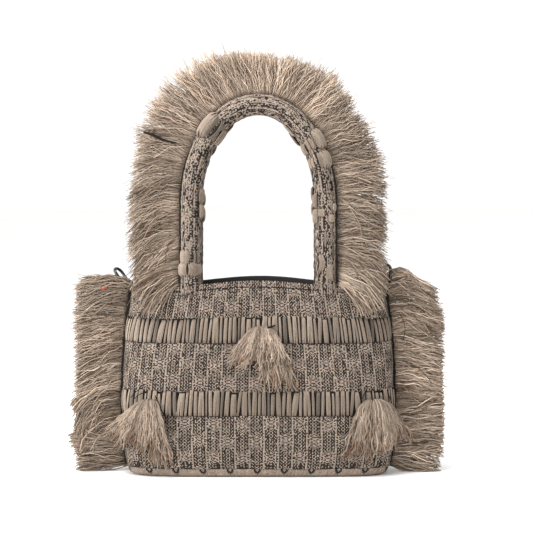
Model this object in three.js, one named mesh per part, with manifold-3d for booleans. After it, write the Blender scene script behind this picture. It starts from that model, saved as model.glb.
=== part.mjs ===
import * as THREE from 'three';
import { mergeVertices } from 'three/addons/utils/BufferGeometryUtils.js';
import Module from 'manifold-3d';

// A small soft handbag of thick woven cloth with two padded arch handles and long yarn fringes.
// Millimetres, +Z up, the front faces -Y, and the origin is the middle of the resting face of the base.

// Cloth
const GAP = 0.4;
const CLOTH = 2.0;
const LINING = 1.0;
const SEAM_HALF = 1.5;

// Pouch, one row per section from the resting face to the rim
const SECTIONS = [
  { z: 0.0, halfWidth: 110.5, halfDepth: 31.0, squareness: 4.6 },
  { z: 1.2, halfWidth: 115.0, halfDepth: 34.4, squareness: 4.6 },
  { z: 3.8, halfWidth: 117.6, halfDepth: 36.6, squareness: 4.6 },
  { z: 7.6, halfWidth: 118.8, halfDepth: 37.6, squareness: 4.6 },
  { z: 20, halfWidth: 121.6, halfDepth: 39.6, squareness: 4.2 },
  { z: 45, halfWidth: 123.0, halfDepth: 41.0, squareness: 3.7 },
  { z: 75, halfWidth: 123.0, halfDepth: 41.0, squareness: 3.3 },
  { z: 105, halfWidth: 121.8, halfDepth: 39.0, squareness: 3.0 },
  { z: 135, halfWidth: 119.2, halfDepth: 35.0, squareness: 2.7 },
  { z: 157, halfWidth: 116.4, halfDepth: 31.2, squareness: 2.4 },
  { z: 174.5, halfWidth: 114.0, halfDepth: 28.0, squareness: 2.2 },
];
const RIM = SECTIONS[SECTIONS.length - 1].z;
const LIP = 7.6;
const RIM_DROP = 8;
const RIM_DROP_REACH = 105;
const COLUMNS = 20;

// Float bands, raised ribs of loose yarn across both panels
const BANDS = [
  { bottom: 56.8, top: 77.5 },
  { bottom: 121.6, top: 143.2 },
];
const RIBS = 19;
const RIB_PITCH = 11;
const RIB_WIDTH = 7;
const RIB_HEIGHT = 1.1;

// Handles
const HANDLE_HALF_SPAN = 60.5;
const HANDLE_LEG = 76;
const HANDLE_RISE = 88.5;
const HANDLE_RADIUS = 9.75;
const FOOT_HALF_WIDTH = 10.5;
const FOOT_HALF_DEPTH = 6;
const FOOT_OVERLAP = 6;
const FOOT_TAPER = 28;
const HANDLE_LEAN = THREE.MathUtils.degToRad(3.8);
const HANDLE_STATIONS = 26;
const HANDLE_SIDES = 12;

// Fringe along the handles, one row per place from the left foot over the arch to the right foot
const HANDLE_FRINGE = [
  { along: 0.0, reach: 42, droop: 46 },
  { along: 0.1, reach: 46, droop: 26 },
  { along: 0.22, reach: 46, droop: 14 },
  { along: 0.37, reach: 48, droop: 4 },
  { along: 0.5, reach: 35, droop: 0 },
  { along: 0.63, reach: 41, droop: 0 },
  { along: 0.78, reach: 41, droop: 5 },
  { along: 0.9, reach: 42, droop: 18 },
  { along: 1.0, reach: 42, droop: 46 },
];
const HANDLE_LOCKS = 26;
const HANDLE_LOCK_THICK = 4.2;
const HEADER_HALF = 1.1;
const FRINGE_START = 9;
const FOOT_FORWARD = 9;
const FOOT_FORWARD_REACH = 45;

// Fringe down each side seam, one row per lock from the floor up
const SIDE_LOCKS = [
  { z: 13, reach: 46, rise: -8, forward: 9 },
  { z: 25, reach: 45, rise: -7, forward: 4 },
  { z: 37, reach: 44, rise: -6, forward: 7 },
  { z: 49, reach: 45, rise: -5, forward: 2 },
  { z: 61, reach: 44, rise: -4, forward: 6 },
  { z: 73, reach: 45, rise: -3, forward: 1 },
  { z: 85, reach: 44, rise: -2, forward: 5 },
  { z: 97, reach: 45, rise: -1, forward: 0 },
  { z: 109, reach: 46, rise: 0, forward: 4 },
  { z: 121, reach: 47, rise: 1, forward: 1 },
  { z: 133, reach: 48, rise: 2, forward: 5 },
  { z: 145, reach: 49, rise: 3, forward: 8 },
  { z: 156, reach: 47, rise: 3, forward: 12 },
];
// The top of each side fringe lifts off the seam, then hangs over toward its cut ends
const SIDE_TOPS = [
  { name: 'side_fringe_left', side: -1, lift: 20, rise: 12 },
  { name: 'side_fringe_right', side: 1, lift: 26, rise: 2 },
];
const SIDE_TOP_FROM = 118;
const SIDE_LOCK_THICK = 4.5;
const SIDE_HEADER_TOP = 160;

// A lock's thickness from its root to its cut end, and how a dip between locks compares with a crest
const LOCK_PROFILE = [
  { share: 0, thick: 0.35 },
  { share: 0.3, thick: 1 },
  { share: 0.85, thick: 0.8 },
  { share: 1, thick: 0.4 },
];
const DIP_REACH = 0.93;
const DIP_THICK = 0.55;

// Tassels, hung from the float bands of the front
const TASSELS = [
  { name: 'tassel_upper', x: 3.6, z: 136, length: 52, spreadLeft: -29, spreadRight: 31 },
  { name: 'tassel_left', x: -98, z: 71, length: 55, spreadLeft: -39, spreadRight: 16 },
  { name: 'tassel_right', x: 104, z: 71, length: 53, spreadLeft: -24, spreadRight: 30 },
];
const TASSEL_LOCKS = 8;
const TASSEL_HALF_HEAD = 9;
const TASSEL_HALF_THICK = 3.6;

// Strap loops at the top of the side seams
const LOOPS = [
  { name: 'strap_loop_left', side: -1, out: 121.5, tip: 38 },
  { name: 'strap_loop_right', side: 1, out: 117, tip: 4 },
];
const LOOP_HALF_WIDTH = 6;
const LOOP_STRAIGHT = 7;
const LOOP_WIRE = 1.4;
const LOOP_YAW = THREE.MathUtils.degToRad(62);
const LOOP_FOOT = 174;
const LOOP_STEPS = 22;
const LOOP_SIDES = 6;
const TONGUE_BOTTOM = SIDE_HEADER_TOP + 3;

const wasm = await Module();
wasm.setup();

const lerp = THREE.MathUtils.lerp;
const UP = new THREE.Vector3(0, 0, 1);
const FORWARD = new THREE.Vector3(0, -1, 0);

// Turns a closed geometry into a solid that can be joined or cut.
function solid(geometry) {
  const bare = geometry.clone();
  bare.deleteAttribute('normal');
  bare.deleteAttribute('uv');
  const merged = mergeVertices(bare, 1e-4);
  return new wasm.Manifold(new wasm.Mesh({
    numProp: 3,
    vertProperties: new Float32Array(merged.attributes.position.array),
    triVerts: new Uint32Array(merged.index.array),
  }));
}

function geometryOf(body) {
  const mesh = body.getMesh();
  const geometry = new THREE.BufferGeometry();
  geometry.setAttribute('position', new THREE.BufferAttribute(new Float32Array(mesh.vertProperties), 3));
  geometry.setIndex(new THREE.BufferAttribute(new Uint32Array(mesh.triVerts), 1));
  geometry.computeVertexNormals();
  return geometry;
}

function fused(bodies) {
  return bodies.reduce((whole, body) => whole.add(body));
}

// Skins a solid through rings that turn counterclockwise about the way they advance.
// An open row of rings is capped with strips across each end ring; a looped row closes on itself.
function loft(rings, looped = false) {
  const count = rings[0].length;
  const points = rings.flat();
  const index = [];
  const bands = looped ? rings.length : rings.length - 1;
  for (let r = 0; r < bands; r += 1) {
    const here = r * count;
    const next = ((r + 1) % rings.length) * count;
    for (let k = 0; k < count; k += 1) {
      const step = (k + 1) % count;
      index.push(here + k, here + step, next + step, here + k, next + step, next + k);
    }
  }
  if (!looped) {
    const last = (rings.length - 1) * count;
    for (let k = 0; k < count / 2 - 1; k += 1) {
      const [a, b, c, d] = [k, k + 1, count - 2 - k, count - 1 - k];
      index.push(a, c, b, a, d, c);
      index.push(last + a, last + b, last + c, last + a, last + c, last + d);
    }
  }
  const geometry = new THREE.BufferGeometry().setFromPoints(points);
  geometry.setIndex(index);
  geometry.computeVertexNormals();
  return geometry;
}

// A value of a table at a place along it, between the two nearest rows.
function between(table, key, column, place) {
  const found = table.findIndex((row) => row[key] >= place);
  const above = found < 0 ? table.length - 1 : Math.max(1, found);
  const share = (place - table[above - 1][key]) / (table[above][key] - table[above - 1][key]);
  return lerp(table[above - 1][column], table[above][column], THREE.MathUtils.clamp(share, 0, 1));
}

// The pouch section at a height.
function sectionAt(z) {
  return {
    z,
    halfWidth: between(SECTIONS, 'z', 'halfWidth', z),
    halfDepth: between(SECTIONS, 'z', 'halfDepth', z),
    squareness: between(SECTIONS, 'z', 'squareness', z),
  };
}

// How full the section is at a place across it, 1 in the middle and 0 at the side seam.
function fullness(across, squareness) {
  return Math.max(0, 1 - Math.abs(across) ** squareness) ** (1 / squareness);
}

function acrossAt(column) {
  return Math.sin((Math.PI / 2) * ((2 * column) / COLUMNS - 1));
}

// The rim dips from the middle toward each side seam, and the rows under it follow less and less.
function rimDrop(x, z) {
  const toSide = Math.min(1, Math.abs(x) / RIM_DROP_REACH);
  return RIM_DROP * Math.sin((Math.PI / 2) * toSide) ** 2 * (z / RIM) ** 8;
}

// One side of a section, from the left seam to the right, drawn in by an inset and ending at a seam.
function arc(row, inset, seam, raise = 0) {
  const points = [];
  for (let column = 0; column <= COLUMNS; column += 1) {
    const across = acrossAt(column);
    const x = (row.halfWidth - inset) * across;
    const depth = row.halfDepth - inset - seam;
    const y = -(seam + depth * fullness(across, row.squareness));
    points.push(new THREE.Vector3(x, y, row.z - rimDrop(x, row.z) + raise));
  }
  return points;
}

// A whole section: the front arc and the same arc turned about the middle.
function wholeRing(row, inset) {
  const front = arc(row, inset, 0);
  const back = front.slice(1, -1).map((p) => new THREE.Vector3(-p.x, -p.y, p.z));
  return [...front, ...back];
}

function wallRing(row) {
  return [...arc(row, 0, SEAM_HALF), ...arc(row, CLOTH, SEAM_HALF).reverse()];
}

function frontY(x, z) {
  const row = sectionAt(z);
  const across = Math.min(1, Math.abs(x) / row.halfWidth);
  return -(SEAM_HALF + (row.halfDepth - SEAM_HALF) * fullness(across, row.squareness));
}

const WALL_ROWS = SECTIONS.filter((row) => row.z >= LIP);

// A panel wall with its two bands of ribs.
function panelGeometry() {
  const rows = WALL_ROWS.map((row, i) => (i === 0 ? { ...row, z: LIP + GAP } : row));
  const bodies = [solid(loft(rows.map(wallRing)))];
  for (const band of BANDS) {
    for (let i = 0; i < RIBS; i += 1) {
      bodies.push(solid(ribGeometry((i - (RIBS - 1) / 2) * RIB_PITCH, band)));
    }
  }
  return geometryOf(fused(bodies));
}

function ribGeometry(x, band) {
  const outline = [
    { offset: -RIB_WIDTH / 2, proud: -1.2 },
    { offset: -RIB_WIDTH / 4, proud: RIB_HEIGHT },
    { offset: RIB_WIDTH / 4, proud: RIB_HEIGHT },
    { offset: RIB_WIDTH / 2, proud: -1.2 },
  ];
  const ringAt = (z) => outline.map(({ offset, proud }) => (
    new THREE.Vector3(x + offset, frontY(x + offset, z) - proud, z)));
  return loft([ringAt(band.bottom), ringAt(band.top)]);
}

// The base is a shallow tray that rolls up to the lip under the panels.
function baseGeometry() {
  const rows = SECTIONS.filter((row) => row.z <= LIP);
  const outside = solid(loft(rows.map((row) => wholeRing(row, 0))));
  const hollowRows = [sectionAt(CLOTH), sectionAt(LIP), { ...sectionAt(LIP), z: LIP + 1 }];
  const hollow = solid(loft(hollowRows.map((row) => wholeRing(row, CLOTH))));
  return geometryOf(outside.subtract(hollow));
}

// The lining hangs inside the panels from the rim to the tray.
function liningGeometry() {
  const inset = CLOTH + GAP;
  const floor = CLOTH + GAP;
  const rows = WALL_ROWS.filter((row, i) => i % 2 === 1);
  const outerRows = [sectionAt(floor), ...rows];
  const outside = solid(loft(outerRows.map((row) => wholeRing(row, inset))));
  const innerRows = [sectionAt(floor + LINING), ...rows, { ...sectionAt(RIM), z: RIM + 1 }];
  const inside = solid(loft(innerRows.map((row) => wholeRing(row, inset + LINING))));
  return geometryOf(outside.subtract(inside));
}

// The handle's own flat outline: up one leg, over the arch and down the other.
const handlePath = new THREE.Path();
handlePath.moveTo(-HANDLE_HALF_SPAN, -FOOT_OVERLAP);
handlePath.lineTo(-HANDLE_HALF_SPAN, HANDLE_LEG);
handlePath.absellipse(0, HANDLE_LEG, HANDLE_HALF_SPAN, HANDLE_RISE, Math.PI, 0, true);
handlePath.lineTo(HANDLE_HALF_SPAN, -FOOT_OVERLAP);
const handleLength = handlePath.getLength();

// Centre, outward direction and section of the handle at a share of its length.
function handleStation(share) {
  const place = handlePath.getPointAt(share);
  const way = handlePath.getTangentAt(share);
  const fromFoot = Math.min(share, 1 - share) * handleLength;
  const taper = THREE.MathUtils.smoothstep(fromFoot, FOOT_OVERLAP, FOOT_TAPER);
  return {
    centre: new THREE.Vector3(place.x, 0, place.y),
    outward: new THREE.Vector3(-way.y, 0, way.x),
    halfWidth: lerp(FOOT_HALF_WIDTH, HANDLE_RADIUS, taper),
    halfDepth: lerp(FOOT_HALF_DEPTH, HANDLE_RADIUS, taper),
  };
}

// Stands the handle's flat outline on the rim and leans it in over the mouth.
function handlePlacement() {
  const rimRow = sectionAt(RIM);
  const across = HANDLE_HALF_SPAN / rimRow.halfWidth;
  const wall = (rimRow.halfDepth - CLOTH) * fullness(across, rimRow.squareness);
  const height = RIM - rimDrop(HANDLE_HALF_SPAN, RIM);
  const placement = new THREE.Matrix4().makeRotationX(-HANDLE_LEAN);
  placement.setPosition(0, -wall, height);
  return placement;
}

// The front of the pouch out to the crests of its ribs and the gap beyond, which tassels lie on.
function frontClearance() {
  const grown = RIB_HEIGHT + GAP;
  const ringAt = (row) => [...arc(row, -grown, SEAM_HALF), ...arc(row, CLOTH, SEAM_HALF).reverse()];
  return solid(loft(WALL_ROWS.map(ringAt)));
}

// The rim of the wall and lining, grown by the gap, which the handle feet straddle.
function rimCutter() {
  const inset = CLOTH + GAP + LINING + GAP;
  const ringAt = (row) => [...arc(row, -GAP, SEAM_HALF, GAP), ...arc(row, inset, 0, GAP).reverse()];
  return solid(loft(WALL_ROWS.filter((row) => row.z > 100).map(ringAt)));
}

function handleGeometry() {
  const rings = [];
  for (let i = 0; i <= HANDLE_STATIONS; i += 1) {
    const { centre, outward, halfWidth, halfDepth } = handleStation(i / HANDLE_STATIONS);
    const ring = [];
    for (let k = 0; k < HANDLE_SIDES; k += 1) {
      const turn = (2 * Math.PI * k) / HANDLE_SIDES;
      ring.push(centre.clone()
        .addScaledVector(outward, halfWidth * Math.cos(turn))
        .addScaledVector(FORWARD, halfDepth * Math.sin(turn)));
    }
    rings.push(ring);
  }
  const tube = solid(loft(rings).applyMatrix4(handlePlacement()));
  return geometryOf(tube.subtract(rimCutter()));
}

// A row of yarn locks as one solid: each station is a cross-cut from root to cut end, by turns in the
// dip beside a lock and at its crest. The face points the way that makes face x yarn the advance.
function lockRow(stations) {
  return loft(stations.map(({ at, face, thick }, i) => {
    const crest = i % 2 === 1;
    const edge = (side) => LOCK_PROFILE.map((row) => at(row.share * (crest ? 1 : DIP_REACH))
      .addScaledVector(face, side * thick * row.thick * (crest ? 1 : DIP_THICK)));
    return [...edge(1), ...edge(-1).reverse()];
  }));
}

// The fringe along the outer edge of the handle, its root close beside the tube.
function handleFringeGeometry() {
  const start = (FOOT_OVERLAP + FRINGE_START) / handleLength;
  const stations = [];
  for (let i = 0; i <= 2 * HANDLE_LOCKS; i += 1) {
    const along = i / (2 * HANDLE_LOCKS);
    const { centre, outward, halfWidth } = handleStation(lerp(start, 1 - start, along));
    const droop = THREE.MathUtils.degToRad(between(HANDLE_FRINGE, 'along', 'droop', along));
    const forward = FOOT_FORWARD * Math.max(0, 1 - centre.z / FOOT_FORWARD_REACH);
    const layer = Math.floor(i / 2) % 2 === 0 ? 1 : -1;
    const root = centre.clone().addScaledVector(outward, halfWidth + GAP + 0.2);
    const way = outward.clone().multiplyScalar(Math.cos(droop)).addScaledVector(UP, -Math.sin(droop));
    const reach = between(HANDLE_FRINGE, 'along', 'reach', along);
    stations.push({
      at: (share) => root.clone()
        .addScaledVector(way, reach * share)
        .addScaledVector(FORWARD, forward * share ** 0.6 + layer * share),
      face: FORWARD.clone().negate(),
      thick: HANDLE_LOCK_THICK,
    });
  }
  const placed = lockRow(stations).applyMatrix4(handlePlacement());
  return geometryOf(solid(placed).subtract(rimCutter()));
}

// A header tape caught between the panel edges, with the locks of one side's fringe fused to it.
function sideFringeGeometry({ side, lift, rise }) {
  const tapeRing = (row) => {
    const inner = row.halfWidth - CLOTH + GAP;
    const outer = row.halfWidth + HEADER_HALF * 2;
    const half = side * (SEAM_HALF - GAP);
    return [
      new THREE.Vector3(side * outer, -half, row.z),
      new THREE.Vector3(side * outer, half, row.z),
      new THREE.Vector3(side * inner, half, row.z),
      new THREE.Vector3(side * inner, -half, row.z),
    ];
  };
  const rows = WALL_ROWS.filter((row) => row.z > LIP && row.z < SIDE_HEADER_TOP);
  const tapeRows = [sectionAt(LIP + 1), ...rows, sectionAt(SIDE_HEADER_TOP)];
  const tape = solid(loft(tapeRows.map(tapeRing)));
  const stations = [];
  const lowest = SIDE_LOCKS[0].z - 3;
  const highest = SIDE_LOCKS[SIDE_LOCKS.length - 1].z + 1.5;
  for (let i = 0; i <= 2 * SIDE_LOCKS.length; i += 1) {
    const z = lerp(lowest, highest, i / (2 * SIDE_LOCKS.length));
    const reach = between(SIDE_LOCKS, 'z', 'reach', z);
    const nearTop = THREE.MathUtils.smoothstep(z, SIDE_TOP_FROM, highest);
    const tipRise = between(SIDE_LOCKS, 'z', 'rise', z) + rise * nearTop;
    const forward = between(SIDE_LOCKS, 'z', 'forward', z);
    const rootX = sectionAt(z).halfWidth + HEADER_HALF;
    stations.push({
      at: (share) => {
        const arch = Math.sin(Math.PI * Math.sqrt(share));
        const out = Math.max(Math.sin((Math.PI / 2) * share), arch * nearTop);
        return new THREE.Vector3(
          side * (rootX + reach * share),
          -forward * out,
          z + tipRise * share + lift * nearTop * arch,
        );
      },
      face: FORWARD.clone().multiplyScalar(side),
      thick: SIDE_LOCK_THICK,
    });
  }
  const loop = loopBody(LOOPS.find((row) => row.side === side), GAP);
  return geometryOf(tape.add(solid(lockRow(stations)).subtract(loop)));
}

// A knotted head with locks that fan down the front of the pouch.
function tasselGeometry({ x, z, length, spreadLeft, spreadRight }) {
  const clear = TASSEL_HALF_THICK + RIB_HEIGHT + GAP;
  const nearby = [-6, 0, 6];
  const lying = (px, pz) => Math.min(...nearby.map((off) => frontY(px + off, pz)), frontY(x, pz)) - clear;
  const headY = frontY(x, z - 6) - clear;
  const headRing = (height, swell) => [0, 1, 2, 3, 4, 5, 6, 7].map((k) => {
    const turn = (2 * Math.PI * k) / 8;
    return new THREE.Vector3(
      x + TASSEL_HALF_HEAD * swell * Math.cos(turn),
      headY + TASSEL_HALF_THICK * swell * Math.sin(turn),
      z + height,
    );
  });
  const head = solid(loft([headRing(-6, 0.9), headRing(-3, 1), headRing(0, 0.75)]));
  const stations = [];
  for (let i = 0; i <= 2 * TASSEL_LOCKS; i += 1) {
    const share = i / (2 * TASSEL_LOCKS);
    const side = 2 * share - 1;
    const rootX = x + 0.8 * side * TASSEL_HALF_HEAD;
    const rootZ = z - 3;
    const drop = (length - 3) * (1 - 0.22 * side ** 2);
    const tipX = x + lerp(spreadLeft, spreadRight, share);
    stations.push({
      at: (down) => {
        const px = lerp(rootX, tipX, down);
        const pz = rootZ - drop * down;
        return new THREE.Vector3(px, lying(px, pz), pz);
      },
      face: FORWARD,
      thick: TASSEL_HALF_THICK,
    });
  }
  return geometryOf(head.add(solid(lockRow(stations))).subtract(frontClearance()));
}

// A stiff black loop on a flat tongue that is caught in the top of a side seam.
function loopBody({ side, out, tip }, grow) {
  const path = new THREE.Path();
  path.moveTo(LOOP_HALF_WIDTH, 0);
  path.lineTo(LOOP_HALF_WIDTH, LOOP_STRAIGHT);
  path.absarc(0, LOOP_STRAIGHT, LOOP_HALF_WIDTH, 0, Math.PI, false);
  path.lineTo(-LOOP_HALF_WIDTH, 0);
  path.closePath();
  const rings = [];
  for (let i = 0; i < LOOP_STEPS; i += 1) {
    const place = path.getPointAt(i / LOOP_STEPS);
    const way = path.getTangentAt(i / LOOP_STEPS);
    const outward = new THREE.Vector3(way.y, 0, -way.x);
    const ring = [];
    for (let k = 0; k < LOOP_SIDES; k += 1) {
      const turn = (2 * Math.PI * k) / LOOP_SIDES;
      ring.push(new THREE.Vector3(place.x, 0, place.y)
        .addScaledVector(outward, (LOOP_WIRE + grow) * Math.cos(turn))
        .addScaledVector(FORWARD, -(LOOP_WIRE + grow) * Math.sin(turn)));
    }
    rings.push(ring);
  }
  const loop = loft(rings, true);
  loop.rotateX(THREE.MathUtils.degToRad(-tip));
  loop.rotateZ(-side * LOOP_YAW);
  loop.translate(side * out, 0, LOOP_FOOT);
  const inner = sectionAt(TONGUE_BOTTOM).halfWidth - CLOTH + GAP;
  const width = out + LOOP_HALF_WIDTH / 2 - inner;
  const height = LOOP_FOOT - TONGUE_BOTTOM + LOOP_WIRE / 2;
  const tongue = new THREE.BoxGeometry(
    width + 2 * grow,
    2 * (SEAM_HALF - GAP + grow),
    height + 2 * grow,
  );
  tongue.translate(side * (inner + width / 2), 0, TONGUE_BOTTOM + height / 2);
  return solid(loop).add(solid(tongue));
}

const cloth = new THREE.MeshStandardMaterial({ color: 0x85796c, roughness: 0.95 });
const blackCloth = new THREE.MeshStandardMaterial({ color: 0x181614, roughness: 0.9 });
const yarn = new THREE.MeshStandardMaterial({ color: 0x9c8873, roughness: 0.95 });
const blackGloss = new THREE.MeshStandardMaterial({ color: 0x121212, roughness: 0.3 });

function piece(name, geometry, material) {
  const mesh = new THREE.Mesh(geometry, material);
  mesh.name = name;
  return mesh;
}

const handbag = new THREE.Group();
handbag.name = 'fringed_handbag';
const turned = new THREE.Group();
turned.rotation.z = Math.PI;

const panel = panelGeometry();
const handle = handleGeometry();
const handleFringe = handleFringeGeometry();

handbag.add(piece('front_panel', panel, cloth));
handbag.add(piece('base_panel', baseGeometry(), cloth));
handbag.add(piece('lining', liningGeometry(), blackCloth));
handbag.add(piece('handle_front', handle, cloth));
handbag.add(piece('handle_fringe_front', handleFringe, yarn));
turned.add(piece('back_panel', panel, cloth));
turned.add(piece('handle_back', handle, cloth));
turned.add(piece('handle_fringe_back', handleFringe, yarn));
handbag.add(turned);
for (const row of SIDE_TOPS) {
  handbag.add(piece(row.name, sideFringeGeometry(row), yarn));
}
for (const row of TASSELS) {
  handbag.add(piece(row.name, tasselGeometry(row), yarn));
}
for (const row of LOOPS) {
  handbag.add(piece(row.name, geometryOf(loopBody(row, 0)), blackGloss));
}

export default handbag;
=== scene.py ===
# %% [markdown]
# # A hand-woven handbag with fringed handles
# The bag is soft cloth all over: two woven panels, a rolled base, a black lining, two stuffed handles,
# long yarn fringes, three tassels and two small strap loops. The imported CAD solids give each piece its
# place and size. Here every soft solid gets a cloth or yarn piece that lies where the solid lies.

import bmesh
import bpy
import numpy as np
from mathutils import Matrix, Vector


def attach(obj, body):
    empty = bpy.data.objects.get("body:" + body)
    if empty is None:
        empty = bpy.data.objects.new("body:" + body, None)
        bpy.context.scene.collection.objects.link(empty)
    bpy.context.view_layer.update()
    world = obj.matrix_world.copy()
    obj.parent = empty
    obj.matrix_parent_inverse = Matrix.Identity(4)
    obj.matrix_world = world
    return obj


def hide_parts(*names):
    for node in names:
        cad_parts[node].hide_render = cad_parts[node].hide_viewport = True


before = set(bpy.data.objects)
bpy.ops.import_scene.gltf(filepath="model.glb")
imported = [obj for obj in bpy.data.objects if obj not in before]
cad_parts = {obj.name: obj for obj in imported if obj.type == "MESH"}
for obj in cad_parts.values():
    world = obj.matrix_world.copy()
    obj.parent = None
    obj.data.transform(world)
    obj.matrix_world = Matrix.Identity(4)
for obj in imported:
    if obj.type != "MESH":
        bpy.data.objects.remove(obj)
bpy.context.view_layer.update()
MM = 0.001

# %% [markdown]
# ## Camera
# The photograph looks almost level at the front of the bag, from well back, through a long lens. The
# distance, height and lens were found by lining up the rim, the handle feet and the base corners. Data alone
# shows nothing in Blender, so a small helper wraps it in an object and links that to the scene.

# %% Camera
AIM = Vector((7.4, -15.0, 188.2)) * MM
CAMERA_DISTANCE = 1.7
CAMERA_ELEVATION = np.radians(4.15)
LENS = 127.5
SENSOR_WIDTH = 36.0


def add_object(name, data):
    """Puts a mesh, curve, light or camera into the scene as an object of that name."""
    thing = bpy.data.objects.new(name, data)
    bpy.context.collection.objects.link(thing)
    return thing


camera_data = bpy.data.cameras.new("photo_camera")
camera_data.lens = LENS
camera_data.sensor_width = SENSOR_WIDTH
camera = add_object("photo_camera", camera_data)
step_back = Vector((0.0, -np.cos(CAMERA_ELEVATION), np.sin(CAMERA_ELEVATION)))
camera.location = AIM + CAMERA_DISTANCE * step_back
camera.rotation_euler = (np.pi / 2 - CAMERA_ELEVATION, 0.0, 0.0)
bpy.context.scene.camera = camera
bpy.context.scene.view_settings.view_transform = "Standard"
print("camera at", tuple(round(value, 3) for value in camera.location))

# %% [markdown]
# ## Colours and node helpers
# Colours are easier to read as the 0 to 255 values of a picture, but shaders work in linear light, so one
# small helper turns the first into the second. A second helper adds a node, sets its options and fills or
# links its inputs. The others build what several finishes share: noise, relief, a change between two colours
# and the mottled tint of wool.

# %% Colour and node helpers
def colour(red, green, blue):
    """A picture colour as linear light."""
    share = np.array([red, green, blue]) / 255.0
    return np.where(share <= 0.04045, share / 12.92, ((share + 0.055) / 1.055) ** 2.4)


def add_node(tree, kind, inputs=None, **options):
    """Adds a node, sets its options, then sets or links its inputs."""
    node = tree.nodes.new(kind)
    for name, value in options.items():
        setattr(node, name, value)
    for socket, value in (inputs or {}).items():
        if isinstance(value, bpy.types.NodeSocket):
            tree.links.new(value, node.inputs[socket])
        else:
            node.inputs[socket].default_value = value
    return node


def new_material(name, roughness):
    """A material, its node tree, its Principled shader and the coordinates that its patterns follow."""
    material = bpy.data.materials.new(name)
    material.use_nodes = True
    tree = material.node_tree
    shader = tree.nodes["Principled BSDF"]
    shader.inputs["Roughness"].default_value = roughness
    return material, tree, shader, add_node(tree, "ShaderNodeTexCoord").outputs


def soft_noise(tree, place, scale, detail=2.0):
    """Noise through the piece, finer with a higher scale and rougher with more detail."""
    settings = {"Vector": place["Object"], "Scale": scale, "Detail": detail}
    return add_node(tree, "ShaderNodeTexNoise", settings).outputs["Fac"]


def crossed_waves(tree, place, scale):
    """Two waves that cross on the UV map, multiplied, so that each crossing is a small dome."""
    settings = {"Vector": place["UV"], "Scale": scale}
    across = add_node(tree, "ShaderNodeTexWave", settings, bands_direction="X").outputs["Fac"]
    upward = add_node(tree, "ShaderNodeTexWave", settings, bands_direction="Y").outputs["Fac"]
    return add_node(tree, "ShaderNodeMath", {0: across, 1: upward}, operation="MULTIPLY").outputs[0]


def between_colours(tree, shader, part, first, second):
    """Colours the shader from one colour to another as part goes from 0 to 1."""
    ramp = add_node(tree, "ShaderNodeValToRGB", {"Fac": part})
    for element, shade in zip(ramp.color_ramp.elements, (first, second)):
        element.color = (*shade, 1.0)
    tree.links.new(ramp.outputs["Color"], shader.inputs["Base Color"])


def mottled_tint(tree, shader, noise, darkest, lightest):
    """Colours the shader by the tint that the mesh carries, darker and lighter as the noise goes."""
    tint = add_node(tree, "ShaderNodeAttribute", attribute_name="tint").outputs["Color"]
    spans = {"From Min": 0.25, "From Max": 0.75, "To Min": darkest, "To Max": lightest}
    shade = add_node(tree, "ShaderNodeMapRange", {"Value": noise, **spans}).outputs["Result"]
    mottle = add_node(tree, "ShaderNodeVectorMath", {0: tint, 1: shade}, operation="MULTIPLY")
    tree.links.new(mottle.outputs["Vector"], shader.inputs["Base Color"])


def add_bump(tree, shader, height, strength, distance):
    """Gives the shader a fine relief, with its depth in metres."""
    bump = add_node(tree, "ShaderNodeBump", {"Height": height, "Strength": strength, "Distance": distance})
    tree.links.new(bump.outputs["Normal"], shader.inputs["Normal"])


print("beige yarn in linear light:", colour(172, 157, 142).round(3))

# %% [markdown]
# ## Studio
# A wide pale floor and an even white surround give the flat, almost shadowless look of a product picture.
# One soft light from above and one from the left bring out the relief of the yarns. The floor is only a
# stage, so it isn't part of the bag.

# %% Floor, surround and lights
FLOOR_HALF = 6.0
SURROUND_STRENGTH = 1.06
floor_mesh = bpy.data.meshes.new("studio_floor")
shape = bmesh.new()
bmesh.ops.create_grid(shape, x_segments=2, y_segments=2, size=FLOOR_HALF)
shape.to_mesh(floor_mesh)
shape.free()
floor = add_object("studio_floor", floor_mesh)
floor_finish, tree, shader, place = new_material("studio_floor", roughness=0.9)
grain = soft_noise(tree, place, scale=3.0)
between_colours(tree, shader, grain, colour(244, 243, 242), colour(250, 250, 249))
floor_mesh.materials.append(floor_finish)

world = bpy.data.worlds.new("studio")
world.use_nodes = True
surround = world.node_tree.nodes["Background"].inputs
surround["Color"].default_value = (1.0, 1.0, 1.0, 1.0)
surround["Strength"].default_value = SURROUND_STRENGTH
bpy.context.scene.world = world


def soft_light(name, place, size, power):
    """A square light that faces the bag."""
    lamp = bpy.data.lights.new(name, "AREA")
    lamp.size = size
    lamp.energy = power
    holder = add_object(name, lamp)
    holder.location = place
    holder.rotation_euler = (AIM - Vector(place)).to_track_quat("-Z", "Y").to_euler()


soft_light("top_light", place=(-0.3, -0.35, 1.7), size=0.8, power=26.0)
soft_light("side_light", place=(-1.5, -0.9, 0.7), size=0.9, power=30.0)
print("lights: top and side")

# %% [markdown]
# ## Finishes
# Every thread has its own colour, which the meshes carry as a "tint" attribute. The woven finish reads that
# tint, mottles it a little as wool does, and adds the small relief that the meshes leave out: a dome on each
# woven cell. The domes follow the UV map, which has one unit for each cell.

# %% Woven cloth finish
ONE_WAVE_A_CELL = 2 * np.pi / 20
weave_finish, tree, shader, place = new_material("woven_cloth", roughness=0.88)
fuzz = soft_noise(tree, place, scale=1900.0, detail=3.0)
mottled_tint(tree, shader, fuzz, darkest=0.82, lightest=1.16)
dome = crossed_waves(tree, place, ONE_WAVE_A_CELL)
rough_dome = add_node(tree, "ShaderNodeMath", {0: dome, 1: fuzz}, operation="ADD").outputs[0]
add_bump(tree, shader, rough_dome, strength=0.7, distance=0.0004)
shader.inputs["Specular IOR Level"].default_value = 0.12
print("finish:", weave_finish.name)

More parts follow.
